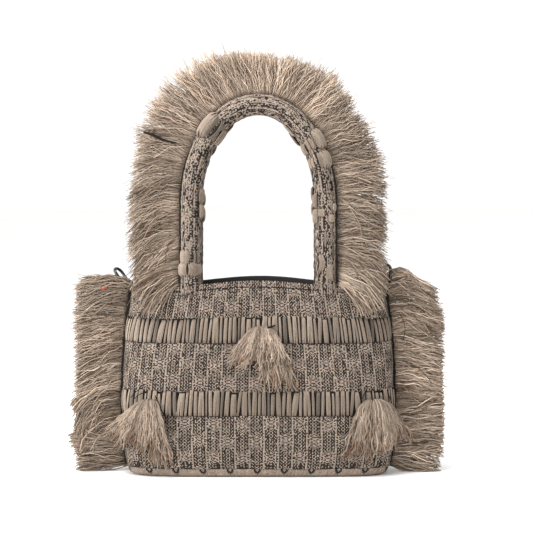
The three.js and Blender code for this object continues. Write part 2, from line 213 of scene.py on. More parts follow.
# %% [markdown]
# ## Yarn
# Yarn takes its tint in the same way. Its relief is a slanting wave along the UV map, which reads as the
# twist of the plies, and the wool is matt, with only a faint shine.

# %% Yarn finish
yarn_finish, tree, shader, place = new_material("fringe_yarn", roughness=0.8)
fibre = soft_noise(tree, place, scale=900.0)
mottled_tint(tree, shader, fibre, darkest=0.8, lightest=1.18)
twist = add_node(tree, "ShaderNodeTexWave", {"Vector": place["UV"], "Scale": 0.5},
                 bands_direction="DIAGONAL").outputs["Fac"]
add_bump(tree, shader, twist, strength=0.4, distance=0.0002)
shader.inputs["Specular IOR Level"].default_value = 0.15
print("finish:", yarn_finish.name)

# %% [markdown]
# ## Lining and loops
# The lining is a plain black cloth, so two crossing waves along its UV map are enough for its threads. The
# strap loops are glossy and black, with a little wear that changes both their shine and their shade.

# %% Lining and loop finishes
lining_finish, tree, shader, place = new_material("black_lining", roughness=0.75)
thread = crossed_waves(tree, place, scale=0.6)
between_colours(tree, shader, thread, colour(20, 19, 18), colour(34, 32, 30))
add_bump(tree, shader, thread, strength=0.5, distance=0.0003)

loop_finish, tree, shader, place = new_material("black_loop", roughness=0.22)
wear = soft_noise(tree, place, scale=350.0, detail=4.0)
gloss = add_node(tree, "ShaderNodeMapRange", {"Value": wear, "To Min": 0.14, "To Max": 0.34})
tree.links.new(gloss.outputs[0], shader.inputs["Roughness"])
between_colours(tree, shader, wear, colour(13, 13, 13), colour(30, 31, 30))
add_bump(tree, shader, wear, strength=0.1, distance=0.0002)
shader.inputs["Coat Weight"].default_value = 0.3
print("finishes:", lining_finish.name, loop_finish.name)

# %% [markdown]
# ## The pouch
# The pouch is a soft shell: wider at the belly than at the rim, with rounded corners that flatten towards
# the side seams, and a rim that dips at both ends. One table of cross sections drives the panels, the base
# and the lining, so they nest inside each other. The rows are joined by smooth curves, not straight lines.

# %% Cross sections of the pouch, in millimetres
SECTIONS = np.array([
    # height, half width, half depth, squareness of the corners
    (0.0, 110.5, 31.0, 4.6),
    (1.2, 115.0, 34.4, 4.6),
    (3.8, 117.6, 36.6, 4.6),
    (7.6, 118.8, 37.6, 4.6),
    (20.0, 121.6, 39.6, 4.2),
    (45.0, 123.0, 41.0, 3.7),
    (75.0, 123.0, 41.0, 3.3),
    (105.0, 121.8, 39.0, 3.0),
    (135.0, 119.2, 35.0, 2.7),
    (157.0, 116.4, 31.2, 2.4),
    (174.5, 114.0, 28.0, 2.2),
])
HEIGHTS, HALF_WIDTHS, HALF_DEPTHS, SQUARENESS = SECTIONS.T
RIM = HEIGHTS[-1]
SEAM_HALF = 1.5
RIM_DROP = 8.0
RIM_DROP_REACH = 105.0
RIM_LIFT = 2.0
CLOTH = 1.8
BASE_LIP = 7.6
BELLY_HEIGHT = 90.0


def flowing(place, places, values):
    """A smooth value between the rows of a table."""
    slopes = np.gradient(values, places)
    row = np.clip(np.searchsorted(places, place) - 1, 0, len(places) - 2)
    gap = places[row + 1] - places[row]
    part = np.clip((place - places[row]) / gap, 0.0, 1.0)
    start = (1 + 2 * part) * (1 - part) ** 2 * values[row]
    start = start + part * (1 - part) ** 2 * gap * slopes[row]
    end = part ** 2 * (3 - 2 * part) * values[row + 1]
    end = end + part ** 2 * (part - 1) * gap * slopes[row + 1]
    return start + end


def section(height):
    """Half width, half depth and squareness of the pouch at a height."""
    return [flowing(height, HEIGHTS, column) for column in (HALF_WIDTHS, HALF_DEPTHS, SQUARENESS)]


def front_y(share, half_depth, square, seam):
    """The y of the front cloth at a share of the half width: 0 in the middle, 1 at a seam."""
    return -(seam + (half_depth - seam) * np.clip(1 - np.abs(share) ** square, 0.0, None) ** (1 / square))


def run_along(x, y):
    """The distance along a line of points from its start."""
    return np.concatenate([[0.0], np.cumsum(np.hypot(np.diff(x), np.diff(y)))])


def rim_sag(x, height):
    """How far the cloth is lifted at the middle of the rim and sinks near its ends."""
    across_rim = np.sin(np.pi / 2 * np.minimum(1.0, np.abs(x) / RIM_DROP_REACH)) ** 2
    return (RIM_LIFT - RIM_DROP * across_rim) * np.clip(height / RIM, 0.0, 1.0) ** 8


def front_skin(shares, heights, inset=0.0, seam=SEAM_HALF):
    """Points of the pouch front, a row for each height, spaced evenly along the cloth from seam to seam."""
    turn = np.sin(np.linspace(-np.pi / 2, np.pi / 2, 301))
    rows = []
    for height in heights:
        half_width, half_depth, square = section(height)
        x = (half_width - inset) * turn
        y = front_y(turn, half_depth - inset, square, seam)
        run = run_along(x, y)
        along = (np.asarray(shares) * 0.5 + 0.5) * run[-1]
        row_x = np.interp(along, run, x)
        rows.append(np.stack([row_x, np.interp(along, run, y), height + rim_sag(row_x, height)], axis=-1))
    return np.array(rows)


def unit(ways):
    """Directions made one long."""
    return ways / (np.linalg.norm(ways, axis=-1, keepdims=True) + 1e-9)


def outward_ways(skin):
    """Unit directions that point out of a skin of points."""
    return unit(np.cross(np.gradient(skin, axis=1), np.gradient(skin, axis=0)))


belly = front_skin(np.linspace(-1, 1, 400), [BELLY_HEIGHT])[0]
BELLY_RUN = np.linalg.norm(np.diff(belly, axis=0), axis=1).sum()
print("cloth from seam to seam at the belly:", round(BELLY_RUN, 1), "mm")

# %% [markdown]
# ## The woven pattern
# The cloth is a hand-woven repeat of narrow columns. Each column has a light eye with a dark bar, then a
# dense dark block with light dots, and the next column is dropped by half a repeat. It is charted here the
# way a weaver draws it: one letter for each crossing of the threads, # for dark and . for light. A column is
# the same on its left and right and above and below its eye, so a quarter of the repeat is enough.

# %% Weaving chart
HALF_CHART = [
    ".#...##",
    "##..#..",
    "...##..",
    ".#...##",
    "##.##..",
    "...#.#.",
    ".##.#.#",
    ".##.##.",
    ".#.##.#",
    ".####.#",
    ".##.##.",
    ".#.##.#",
    ".####.#",
    ".##.##.",
    ".#.##.#",
    ".####.#",
    ".##.##.",
]
half = np.array([[letter == "#" for letter in line] for line in HALF_CHART])
half = np.concatenate([half, half[:, ::-1]], axis=1)
CHART = np.concatenate([half, half[-2:0:-1]])
CHART_ROWS, CHART_COLUMNS = CHART.shape
CELL_ACROSS = 0.9
CELL_UP = 0.95
DARK_WOOL = colour(39, 34, 30)
LIGHT_WOOL = colour(132, 119, 108)
SHADED_WOOL = DARK_WOOL * 0.6
# paces of the slow sway of the columns, how far the colours of the threads spread, and their limits
SHORT_SWAY = 0.061
LONG_SWAY = 0.023
SWAY_SLANT = 0.017
CELL_SPREAD = 0.02
WEFT_SPREAD = 0.02
WARP_SPREAD = 0.07
DARK_SPREAD = 0.38
LIGHT_SPREAD = 0.16
DARKEST = 0.004
LIGHTEST = 0.75


def woven_marks(rows, columns, chance, wander=1.2, slip_share=0.05):
    """True where a dark thread is on top, for rows and columns counted from the middle of an eye."""
    row, column = rows[:, None], columns[None, :] + CHART_COLUMNS // 2
    sway = np.sin(column * SHORT_SWAY) + 0.6 * np.sin(column * LONG_SWAY + row * SWAY_SLANT)
    shifted = row + np.round(wander * sway).astype(int) + CHART_ROWS // 2 * (column // CHART_COLUMNS)
    marks = CHART[shifted % CHART_ROWS, column % CHART_COLUMNS]
    slips = chance.random(marks.shape) < slip_share
    return marks ^ slips


def wool_tints(marks, chance):
    """A colour for each cell: charcoal or beige, never twice quite the same."""
    rows, columns = marks.shape
    tints = np.where(marks[..., None], DARK_WOOL, LIGHT_WOOL)
    blush = 1 + chance.normal(0.0, CELL_SPREAD, (rows, columns, 3))
    weft = 1 + chance.normal(0.0, WEFT_SPREAD, (rows, 1, 3))
    warp = 1 + chance.normal(0.0, WARP_SPREAD, (1, columns, 1))
    depth = np.exp(chance.normal(0.0, np.where(marks, DARK_SPREAD, LIGHT_SPREAD))[..., None])
    return np.clip(tints * blush * weft * warp * depth, DARKEST, LIGHTEST)


print("chart:", CHART_ROWS, "rows of", CHART_COLUMNS, "cells,", round(CHART.mean(), 2), "dark")

# %% [markdown]
# ## Cloth helper
# A woven piece is a grid with one face for each crossing of the threads. Blender makes the flat grid, then
# its points are moved to the pouch and its faces get their thread colours. Dark cells sit a little lower
# than light ones, so the weave is real relief as well as colour.

# %% Cloth helper
WELD_GAP = 0.00002
HALF_TURN = np.array([-1.0, -1.0, 1.0])


def cloth_grid(name, points, tints, finish, weld=False):
    """A grid of cloth: points is rows by columns in millimetres, tints is one colour for each face."""
    rows, columns = points.shape[0] - 1, points.shape[1] - 1
    cloth = bmesh.new()
    bmesh.ops.create_grid(cloth, x_segments=columns, y_segments=rows, size=0.5, calc_uvs=True)
    cloth.faces.ensure_lookup_table()
    layer = cloth.faces.layers.float_color.new("tint")
    for face, tint in zip(cloth.faces, tints.reshape(-1, 3)):
        face[layer] = (*tint, 1.0)
    uv = cloth.loops.layers.uv.verify()
    for face in cloth.faces:
        for corner in face.loops:
            corner[uv].uv = (corner[uv].uv[0] * columns, corner[uv].uv[1] * rows)
    for vertex, point in zip(cloth.verts, points.reshape(-1, 3) * MM):
        vertex.co = point
    if weld:
        bmesh.ops.remove_doubles(cloth, verts=cloth.verts, dist=WELD_GAP)
        bmesh.ops.recalc_face_normals(cloth, faces=cloth.faces)
    for face in cloth.faces:
        face.smooth = True
    mesh = bpy.data.meshes.new(name)
    cloth.to_mesh(mesh)
    cloth.free()
    mesh.materials.append(finish)
    return add_object(name, mesh)


def cell_corners(values):
    """Spreads one value for each face to the corners of the grid."""
    padded = np.pad(values, 1, mode="edge")
    return (padded[:-1, :-1] + padded[1:, :-1] + padded[:-1, 1:] + padded[1:, 1:]) / 4


def give_wall(piece, thickness, edge_only=False):
    """Gives a cloth its thickness, inwards, or only a turned edge where the lining covers its inner side."""
    wall = piece.modifiers.new("cloth_thickness", "SOLIDIFY")
    wall.thickness = thickness * MM
    wall.offset = -1.0
    wall.use_even_offset = True
    wall.use_rim_only = edge_only


def settle(piece, slot, *nodes):
    """Lets a piece ride on the bag and stand for its CAD nodes; slot is not used."""
    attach(piece, "root")
    if nodes:
        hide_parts(*nodes)
    return piece


def turn_half_round(piece):
    """Turns a piece from the front of the bag to its back."""
    piece.data.transform(Matrix.Diagonal((*HALF_TURN, 1.0)))
    piece.data.update()
    return piece


def turned_back(piece, name):
    """A copy of a front piece for the back of the bag."""
    return turn_half_round(add_object(name, piece.data.copy()))


print("cloth helpers ready")

# %% [markdown]
# ## Front and back panels
# Each panel runs from seam to seam and from the base to the rim. Two level bands in it are left unwoven, and
# the long loose threads there come later. First the cells are counted out: which rows fall in a band, and
# where the eyes of the pattern lie, which starts afresh above each band as it does in the photograph.

# %% Panel layout
BANDS = ((56.8, 77.5), (121.6, 143.2))
EYE_HEIGHTS = np.array([19.3, 101.9, 168.2])
EYE_X = -39.2
PANEL_BOTTOM = BASE_LIP + 0.4
PANEL_COLUMNS = int(round(BELLY_RUN / CELL_ACROSS))
PANEL_ROWS = int(round((RIM - PANEL_BOTTOM) / CELL_UP))
panel_shares = np.linspace(-1.0, 1.0, PANEL_COLUMNS + 1)
panel_heights = np.linspace(PANEL_BOTTOM, RIM, PANEL_ROWS + 1)
face_heights = (panel_heights[:-1] + panel_heights[1:]) / 2
in_band = np.zeros(PANEL_ROWS, dtype=bool)
zone = np.zeros(PANEL_ROWS, dtype=int)
for low, high in BANDS:
    in_band |= (face_heights > low) & (face_heights < high)
    zone += face_heights > high
panel_rows = np.round((face_heights - EYE_HEIGHTS[zone]) / CELL_UP).astype(int)
panel_columns = np.arange(PANEL_COLUMNS) - int(round(PANEL_COLUMNS / 2 + EYE_X / CELL_ACROSS))
print("panel grid:", PANEL_COLUMNS, "by", PANEL_ROWS, "cells; rows left unwoven:", int(in_band.sum()))

# %% [markdown]
# ## Panel surface
# The top edge is turned over into a hem with a row of dark stitches under it, and the cloth below it is not
# quite flat, because it is soft and hangs from the rim. Its soft swells are added to the points in code. A
# simulation would slide the counted pattern off its place.

# %% Panel surface
HEM = 5.6
HEM_RISE = 0.7
HEM_GROOVE = 0.5
STITCH_PITCH = 4
BARE_CLOTH = colour(36, 31, 28)
UNDER_BAND_WOOL = DARK_WOOL * 0.7
# columns of the small dark brackets along the lower edge
BRACKET_PITCH = 27
BRACKET_START = 4
BRACKET_POSTS = (0, 3, 6, 7)
BRACKET_WIDTH = 8
BRACKET_ROWS = 6
WEAVE_RELIEF = 0.2
BARE_SINK = 0.7
BROAD_SWELL = 0.9
SMALL_SWELL = 0.5
SEAM_HOLD = 14


def panel_tints(marks, chance):
    """Thread colours of a panel, with the bare bands, the brackets and the stitched hem."""
    tints = wool_tints(marks, chance)
    bare = BARE_CLOTH * np.exp(chance.normal(0.0, 0.25, (PANEL_ROWS, PANEL_COLUMNS, 1)))
    tints[in_band] = bare[in_band]
    for low, _ in BANDS:
        under_band = np.argmin(np.abs(face_heights - low))
        tints[under_band] = UNDER_BAND_WOOL
    beside_post = (np.arange(PANEL_COLUMNS) - BRACKET_START) % BRACKET_PITCH
    tints[1:BRACKET_ROWS, np.isin(beside_post, BRACKET_POSTS)] = DARK_WOOL
    tints[0, beside_post < BRACKET_WIDTH] = DARK_WOOL
    hem_row = np.argmin(np.abs(face_heights - (RIM - HEM)))
    stitched = (np.arange(PANEL_COLUMNS) % STITCH_PITCH) != 0
    tints[hem_row, stitched] = SHADED_WOOL
    return tints


def panel_relief(marks):
    """How far each corner of the weave stands out of or sinks into the cloth."""
    relief = np.where(marks, -WEAVE_RELIEF, WEAVE_RELIEF)
    relief[in_band] = -BARE_SINK
    height_share = np.linspace(0.0, 1.0, PANEL_ROWS + 1)[:, None]
    share = panel_shares[None, :]
    soft = BROAD_SWELL * np.sin(4.1 * share + 1.0) * np.sin(5.2 * height_share + 0.4)
    soft = soft + SMALL_SWELL * np.sin(9.3 * share - 0.7) * np.cos(8.7 * height_share)
    below_rim = RIM - panel_heights
    hem = HEM_RISE * np.clip((HEM - below_rim) / 1.2, 0.0, 1.0)
    hem = hem - HEM_GROOVE * np.exp(-((below_rim - HEM - 0.7) / 0.8) ** 2)
    held_at_seam = 1 - np.abs(share) ** SEAM_HOLD
    return (cell_corners(relief) + soft + hem[:, None]) * held_at_seam


def woven_panel(name, seed):
    """A panel as it lies on the front of the pouch: grid, weave and relief."""
    chance = np.random.default_rng(seed)
    marks = woven_marks(panel_rows, panel_columns, chance)
    skin = front_skin(panel_shares, panel_heights)
    skin = skin + outward_ways(skin) * panel_relief(marks)[..., None]
    return cloth_grid(name, skin, panel_tints(marks, chance), weave_finish)


front_panel = settle(woven_panel("front_panel_cloth", 21), "weave", "front_panel")
back_panel = turn_half_round(woven_panel("back_panel_cloth", 22))
settle(back_panel, "weave", "back_panel")
for panel in (front_panel, back_panel):
    give_wall(panel, CLOTH, edge_only=True)
print("panel faces:", len(front_panel.data.polygons))

# %% [markdown]
# ## Yarn helper
# Loose threads, fringes and tassels are thousands of slim yarns. Modelling each as a curve would be slow, so
# one helper takes the paths of a whole bundle as an array and joins three-sided tubes along them into a
# single mesh, with a colour for each point and a closed end on each yarn.

# %% Yarn helper
ASIDE = np.array([0.12, 1.0, 0.07])


def yarn_bundle(name, paths, radius, tints, sides=3):
    """Joins yarns into one mesh: paths is yarns by points by xyz in millimetres, tints has the same shape."""
    yarns, points, _ = paths.shape
    ways = unit(np.gradient(paths, axis=1))
    first = unit(np.cross(ways, ASIDE))
    second = np.cross(ways, first)
    turn = 2 * np.pi * np.arange(sides) / sides
    radius = np.broadcast_to(radius, (yarns, points))[:, :, None, None]
    rings = paths[:, :, None, :] + radius * (
        np.cos(turn)[:, None] * first[:, :, None, :] + np.sin(turn)[:, None] * second[:, :, None, :])
    number = np.arange(yarns * points * sides).reshape(yarns, points, sides)
    following = np.roll(number, -1, axis=2)
    walls = np.stack([number[:, :-1], following[:, :-1], following[:, 1:], number[:, 1:]], axis=-1)
    walls = walls.reshape(-1, 4)
    caps = np.concatenate([number[:, 0, ::-1], number[:, -1]])
    corners = np.concatenate([walls.ravel(), caps.ravel()])
    mesh = bpy.data.meshes.new(name)
    mesh.vertices.add(number.size)
    mesh.vertices.foreach_set("co", (rings * MM).ravel())
    mesh.loops.add(corners.size)
    mesh.loops.foreach_set("vertex_index", corners)
    mesh.polygons.add(len(walls) + len(caps))
    starts = np.concatenate([np.arange(len(walls)) * 4, walls.size + np.arange(len(caps)) * sides])
    mesh.polygons.foreach_set("loop_start", starts)
    mesh.update(calc_edges=True)
    mesh.polygons.foreach_set("use_smooth", np.ones(len(mesh.polygons), dtype=bool))
    layer = mesh.color_attributes.new("tint", "FLOAT_COLOR", "POINT")
    colours = np.ones((yarns, points, sides, 4))
    colours[..., :3] = tints[:, :, None, :]
    layer.data.foreach_set("color", colours.ravel())
    steps = np.linalg.norm(np.diff(paths, axis=1), axis=-1)
    spot = np.zeros((yarns, points, sides, 2))
    spot[..., 0] = np.arange(sides) / sides
    spot[:, 1:, :, 1] = np.cumsum(steps, axis=1)[:, :, None]
    uv = mesh.uv_layers.new(name="UVMap")
    uv.data.foreach_set("uv", spot.reshape(-1, 2)[corners].ravel())
    mesh.materials.append(yarn_finish)
    return add_object(name, mesh)


YARN_COLOURS = np.array([
    colour(159, 142, 126),
    colour(169, 152, 136),
    colour(140, 123, 107),
    colour(179, 163, 148),
    colour(106, 89, 75),
    colour(153, 138, 123),
])
YARN_SHARES = (0.28, 0.2, 0.2, 0.1, 0.14, 0.08)
YARN_LIFT = 0.02
YARN_SPREAD = 0.2
ALONG_SPREAD = 0.13


def yarn_tints(yarns, points, chance):
    """A beige for each yarn, a little different from its neighbours and uneven along its length."""
    pick = chance.choice(len(YARN_COLOURS), yarns, p=YARN_SHARES)
    shade = chance.normal(YARN_LIFT, YARN_SPREAD, (yarns, 1))
    shade = np.exp(shade + chance.normal(0.0, ALONG_SPREAD, (yarns, points)))
    return YARN_COLOURS[pick][:, None, :] * shade[..., None]


print("yarn helper ready")

# %% [markdown]
# ## Loose threads of the bands
# In the two bands the warp threads are not woven in. They stand side by side in small beige bundles of
# uneven width that bulge forward, with dark gaps between them; a few are grey, and some lean. Each bundle
# is made of several yarns, higher in its middle than at its edges.

# %% Loose threads of the bands
BUNDLE_WIDTHS = (3.4, 4.6, 3.0, 5.2, 2.4, 3.8, 3.0, 4.4, 2.0, 3.6, 4.8, 2.8)
BUNDLE_GAP = 1.05
BUNDLE_YARN = 0.72
BAND_MARGIN = 2.0
LAST_BUNDLE = 5.5
GREY_EVERY = 9
LEAN_EVERY = 11
STRONG_LEAN = 1.3
SPLIT_WIDTH = 3.5
THREAD_RADIUS = 0.48
PATCH_SHARE = 0.002
PATCH_HEIGHT = 0.3
GREY_WOOL = colour(116, 106, 97)
PALE_WOOL = colour(153, 138, 124)
GAP_WOOL = DARK_WOOL * 0.45


def on_front(where, heights, rise):
    """Points a little in front of the pouch: where is along the cloth from its middle, at each height."""
    points = []
    for place, height, out in zip(where, heights, rise):
        share = place / BELLY_RUN * 2
        shares = share + PATCH_SHARE * np.arange(-1, 2)
        patch = front_skin(shares, height + PATCH_HEIGHT * np.arange(-1, 2))
        points.append(patch[1, 1] + outward_ways(patch)[1, 1] * out)
    return np.array(points)


def loose_threads(name, seed):
    """Every bundle of both bands on the front of the pouch, with a dark thread in each gap."""
    chance = np.random.default_rng(seed)
    along = np.linspace(0.0, 1.0, 7)
    hump = np.sin(np.pi * along)
    paths, tints = [], []
    for band, (low, high) in enumerate(BANDS):
        edge = -BELLY_RUN / 2 + BAND_MARGIN
        number = band * 5
        while edge < BELLY_RUN / 2 - LAST_BUNDLE:
            width = BUNDLE_WIDTHS[number % len(BUNDLE_WIDTHS)] * chance.uniform(0.8, 1.15)
            count = max(2, int(round(width / BUNDLE_YARN)))
            lean = chance.normal(0.0, 0.4) + (STRONG_LEAN if number % LEAN_EVERY == 4 else 0.0)
            foot, top = low - chance.uniform(0.2, 1.0), high + chance.uniform(-1.8, 2.0)
            wool = GREY_WOOL if number % GREY_EVERY == 5 else PALE_WOOL * chance.uniform(0.82, 1.1)
            slit = chance.uniform(0.0, 0.9) if width > SPLIT_WIDTH else 0.0
            for yarn in range(count):
                inside = (yarn + 0.5) / count - 0.5
                where = edge + width / 2 + inside * width * (0.74 + 0.26 * hump) + lean * (along - 0.5) * 2
                where = where + np.sign(inside) * slit * (1 - along) ** 2
                bulge = 0.1 + (0.4 + 0.13 * width) * hump ** 0.6 * (1 - 2.4 * inside ** 2)
                paths.append(on_front(where, foot + (top - foot) * along, bulge))
                tints.append(np.tile(wool * chance.uniform(0.86, 1.1), (len(along), 1)))
            gap = BUNDLE_GAP * chance.uniform(0.7, 1.4)
            where = edge + width + gap / 2 + chance.normal(0.0, 0.4) * (along - 0.5) + lean * (along - 0.5)
            paths.append(on_front(where, low - 0.6 + (high - low + 1.6) * along, 0.3 + 0.5 * hump))
            tints.append(np.tile(GAP_WOOL, (len(along), 1)))
            edge += width + gap
            number += 1
    return yarn_bundle(name, np.array(paths), THREAD_RADIUS, np.array(tints))


front_threads = settle(loose_threads("front_band_threads", 31), "yarn")
settle(turned_back(front_threads, "back_band_threads"), "yarn")
print("band threads:", len(front_threads.data.polygons), "faces a side")

# %% [markdown]
# ## Base
# The base is a shallow woven tray: flat below, rolled up at the edge to meet the panels. It is one ring of
# cloth that closes to a point in the middle of the underside, plain beige with small dark ticks along the
# rolled edge.

# %% Base
BASE_COLUMNS = 2 * PANEL_COLUMNS
TICK_PITCH = 27
TICK_START = 22
# rows down from the upper edge, and how far each tick reaches to both sides there
TICK_ROWS = ((1, (2, 3)), (2, (1, 2, 3)), (3, (0, 1, 2)), (4, (0,)))
BASE_TONE = np.array([0.92, 0.89, 0.87])


def ring_skin(columns, heights, inset=0.0):
    """Rows of points right round the pouch, front then back."""
    shares = np.linspace(-1.0, 1.0, columns // 2 + 1)
    front = front_skin(shares, heights, inset, seam=0.0)
    back = front * HALF_TURN
    return np.concatenate([front[:, :-1], back], axis=1)


base_rise = np.array([0.0, 0.5, 1.2, 2.4, 3.8, 5.4, 6.6, BASE_LIP])
base_edge = ring_skin(BASE_COLUMNS, base_rise)
base_flat = base_edge[:1] * np.linspace(0.0, 1.0, 8)[:-1, None, None]
base_points = np.concatenate([base_flat, base_edge])
chance = np.random.default_rng(41)
base_rows, base_columns = base_points.shape[0] - 1, base_points.shape[1] - 1
base_tints = wool_tints(np.zeros((base_rows, base_columns), dtype=bool), chance) * BASE_TONE
column = np.arange(base_columns)
for climb, reach in TICK_ROWS:
    for side in reach:
        for way in (-1, 1):
            ticks = (column % TICK_PITCH) == (TICK_START + way * side) % TICK_PITCH
            base_tints[base_rows - climb, ticks] = DARK_WOOL
base_cloth = cloth_grid("base_cloth", base_points, base_tints, weave_finish, weld=True)
settle(base_cloth, "base_weave", "base_panel")
give_wall(base_cloth, CLOTH, edge_only=True)
print("base faces:", len(base_cloth.data.polygons))

# %% [markdown]
# ## Lining
# Inside hangs a plain black lining, a little smaller than the pouch. Only its upper edge shows through the
# mouth in the photograph, but it goes right down and closes over the base, as a sewn lining does.

# %% Lining
LINING_INSET = 2.6
LINING_COLUMNS = 144
LINING_FLOOR = 2.6
LINING_WALL = 0.9
LINING_FOLDS = 9
FOLD_DEPTH = 0.012
lining_heights = np.concatenate([np.linspace(LINING_FLOOR, 20.0, 6), np.linspace(26.0, RIM - 0.3, 22)])
lining_wall = ring_skin(LINING_COLUMNS, lining_heights, LINING_INSET)
fold = np.sin(np.arange(lining_wall.shape[1]) * 2 * np.pi / LINING_COLUMNS * LINING_FOLDS)
hang = np.sin(np.linspace(0.0, np.pi, len(lining_heights)))[:, None]
lining_wall[..., 1] *= 1 - FOLD_DEPTH * (1 + fold) * hang
lining_floor = lining_wall[:1] * np.linspace(0.0, 1.0, 9)[:-1, None, None]
lining_floor[..., 2] = LINING_FLOOR
lining_points = np.concatenate([lining_floor, lining_wall])
lining_tints = np.full((lining_points.shape[0] - 1, lining_points.shape[1] - 1, 3), 0.01)
lining = cloth_grid("lining_cloth", lining_points, lining_tints, lining_finish, weld=True)
settle(lining, "lining", "lining")
give_wall(lining, LINING_WALL)
print("lining faces:", len(lining.data.polygons))

# %% [markdown]
# ## Handles
# Each handle is a stuffed tube of the same cloth, bent into a tall arch, flattened where it is sewn to the
# rim. The centre line runs up one leg, over half an ellipse and down the other, in a plane that leans back
# a little. A grid is wrapped round that line and welded along its seam.

# %% Handle centre line
LEG_X = 60.5
FOOT_V = -6.0
LEG_TOP = 76.0
ARCH_RISE = 88.5
LEAN = np.radians(3.8)
FOOT_Y = -22.84
FOOT_Z = 169.56
TUBE = 9.75
FOOT_HALF_WIDTH = 10.5
FOOT_HALF_DEPTH = 6.0
FLAT_TO_ROUND = (6.0, 28.0)

arch = np.linspace(np.pi, 0.0, 601)
line_u = np.concatenate([[-LEG_X], LEG_X * np.cos(arch), [LEG_X]])
line_v = np.concatenate([[FOOT_V], LEG_TOP + ARCH_RISE * np.sin(arch), [FOOT_V]])
line_run = run_along(line_u, line_v)
HANDLE_RUN = line_run[-1]


def on_line(run):
    """The place on the handle's centre line, in its own plane, at a distance along it."""
    return np.stack([np.interp(run, line_run, line) for line in (line_u, line_v)], axis=-1)


def on_handle(run):
    """Place, forward direction and outward direction on the handle's centre line."""
    forward = unit(on_line(run + 0.5) - on_line(run - 0.5))
    outward = np.stack([-forward[..., 1], forward[..., 0]], axis=-1)
    return on_line(run), forward, outward


def stand_handle(u, v, toward_viewer):
    """Turns a place in the handle's plane into a place on the bag."""
    y = FOOT_Y + v * np.sin(LEAN) - toward_viewer * np.cos(LEAN)
    z = FOOT_Z + v * np.cos(LEAN) + toward_viewer * np.sin(LEAN)
    return np.stack([u, y, z], axis=-1)


def smooth_step(value, low, high):
    """0 below low, 1 above high, with a soft change between."""
    part = np.clip((value - low) / (high - low), 0.0, 1.0)
    return part * part * (3 - 2 * part)


def tube_halves(run):
    """Half width and half depth of the handle at a distance along it."""
    from_foot = np.minimum(run, HANDLE_RUN - run)
    round_part = smooth_step(from_foot, *FLAT_TO_ROUND)
    half_width = FOOT_HALF_WIDTH + (TUBE - FOOT_HALF_WIDTH) * round_part
    half_depth = FOOT_HALF_DEPTH + (TUBE - FOOT_HALF_DEPTH) * round_part
    return half_width, half_depth


def tube_point(run, turn, rise=0.0):
    """A point on the handle tube: turn 0 faces outward, a quarter turn faces the viewer."""
    place, _, outward = on_handle(run)
    half_width, half_depth = tube_halves(run)
    out = (half_width + rise) * np.cos(turn)
    near = (half_depth + rise) * np.sin(turn)
    place = place + outward * out[..., None]
    return stand_handle(place[..., 0], place[..., 1], near)


print("handle line:", round(HANDLE_RUN, 1), "mm long")

# %% [markdown]
# ## Stuffing the handles
# Each handle is a stuffed tube, so its cloth is pushed out from inside. A coarse tube, a little too slim,
# is blown up by a cloth simulation with its two ends held. Gravity is off, because the stuffing carries the
# cloth, and the pressure is high, because a slim tube resists it more than a wide cushion does. The sway of
# the whole arch is taken off again, since the sewn feet and the fringe hold it, and how far each point swells
# outward is kept, within a limit, for the fine woven tube.

# %% Stuffing the handles
STUFF_ROWS = 110
STUFF_COLUMNS = 24
STUFF_SLACK = 0.5
STUFF_LIMITS = (-0.3, 1.4)
STUFF_FRAMES = 20
STUFF_PRESSURE = 150.0
CLOTH_MASS = 0.02
CLOTH_STIFFNESS = 0.1


def coarse_tube():
    """The slim trial tube, and the direction that points out of it at each point."""
    runs = np.linspace(0.0, HANDLE_RUN, STUFF_ROWS)
    turn = np.linspace(0.0, 2 * np.pi, STUFF_COLUMNS, endpoint=False)
    grid_run, grid_turn = np.meshgrid(runs, turn, indexing="ij")
    slim = tube_point(grid_run, grid_turn, -STUFF_SLACK)
    ways = unit(tube_point(grid_run, grid_turn, 1.0) - slim)
    number = np.arange(slim.shape[0] * STUFF_COLUMNS).reshape(-1, STUFF_COLUMNS)
    beside = np.roll(number, -1, axis=1)
    faces = np.stack([number[:-1], beside[:-1], beside[1:], number[1:]], axis=-1).reshape(-1, 4)
    mesh = bpy.data.meshes.new("trial_tube")
    mesh.from_pydata((slim.reshape(-1, 3) * MM).tolist(), [], faces.tolist())
    mesh.update()
    piece = add_object("trial_tube", mesh)
    held = piece.vertex_groups.new(name="held_ends")
    held.add(number[:2].ravel().tolist() + number[-2:].ravel().tolist(), 1.0, "REPLACE")
    return piece, slim, ways


def blow_up(piece):
    """Runs the cloth simulation and returns where the points of the piece end, in millimetres."""
    cloth = piece.modifiers.new("stuffing", "CLOTH")
    cloth.settings.mass = CLOTH_MASS
    cloth.settings.tension_stiffness = CLOTH_STIFFNESS
    cloth.settings.compression_stiffness = CLOTH_STIFFNESS
    cloth.settings.shear_stiffness = CLOTH_STIFFNESS / 3
    cloth.settings.use_pressure = True
    cloth.settings.uniform_pressure_force = STUFF_PRESSURE
    cloth.settings.vertex_group_mass = "held_ends"
    cloth.settings.effector_weights.gravity = 0.0
    cloth.point_cache.frame_start = 1
    cloth.point_cache.frame_end = STUFF_FRAMES
    scene = bpy.context.scene
    for moment in range(1, STUFF_FRAMES + 1):
        scene.frame_set(moment)
    blown = piece.evaluated_get(bpy.context.evaluated_depsgraph_get())
    place = np.empty(len(blown.data.vertices) * 3)
    blown.data.vertices.foreach_get("co", place)
    scene.frame_set(1)
    return place.reshape(-1, 3) / MM


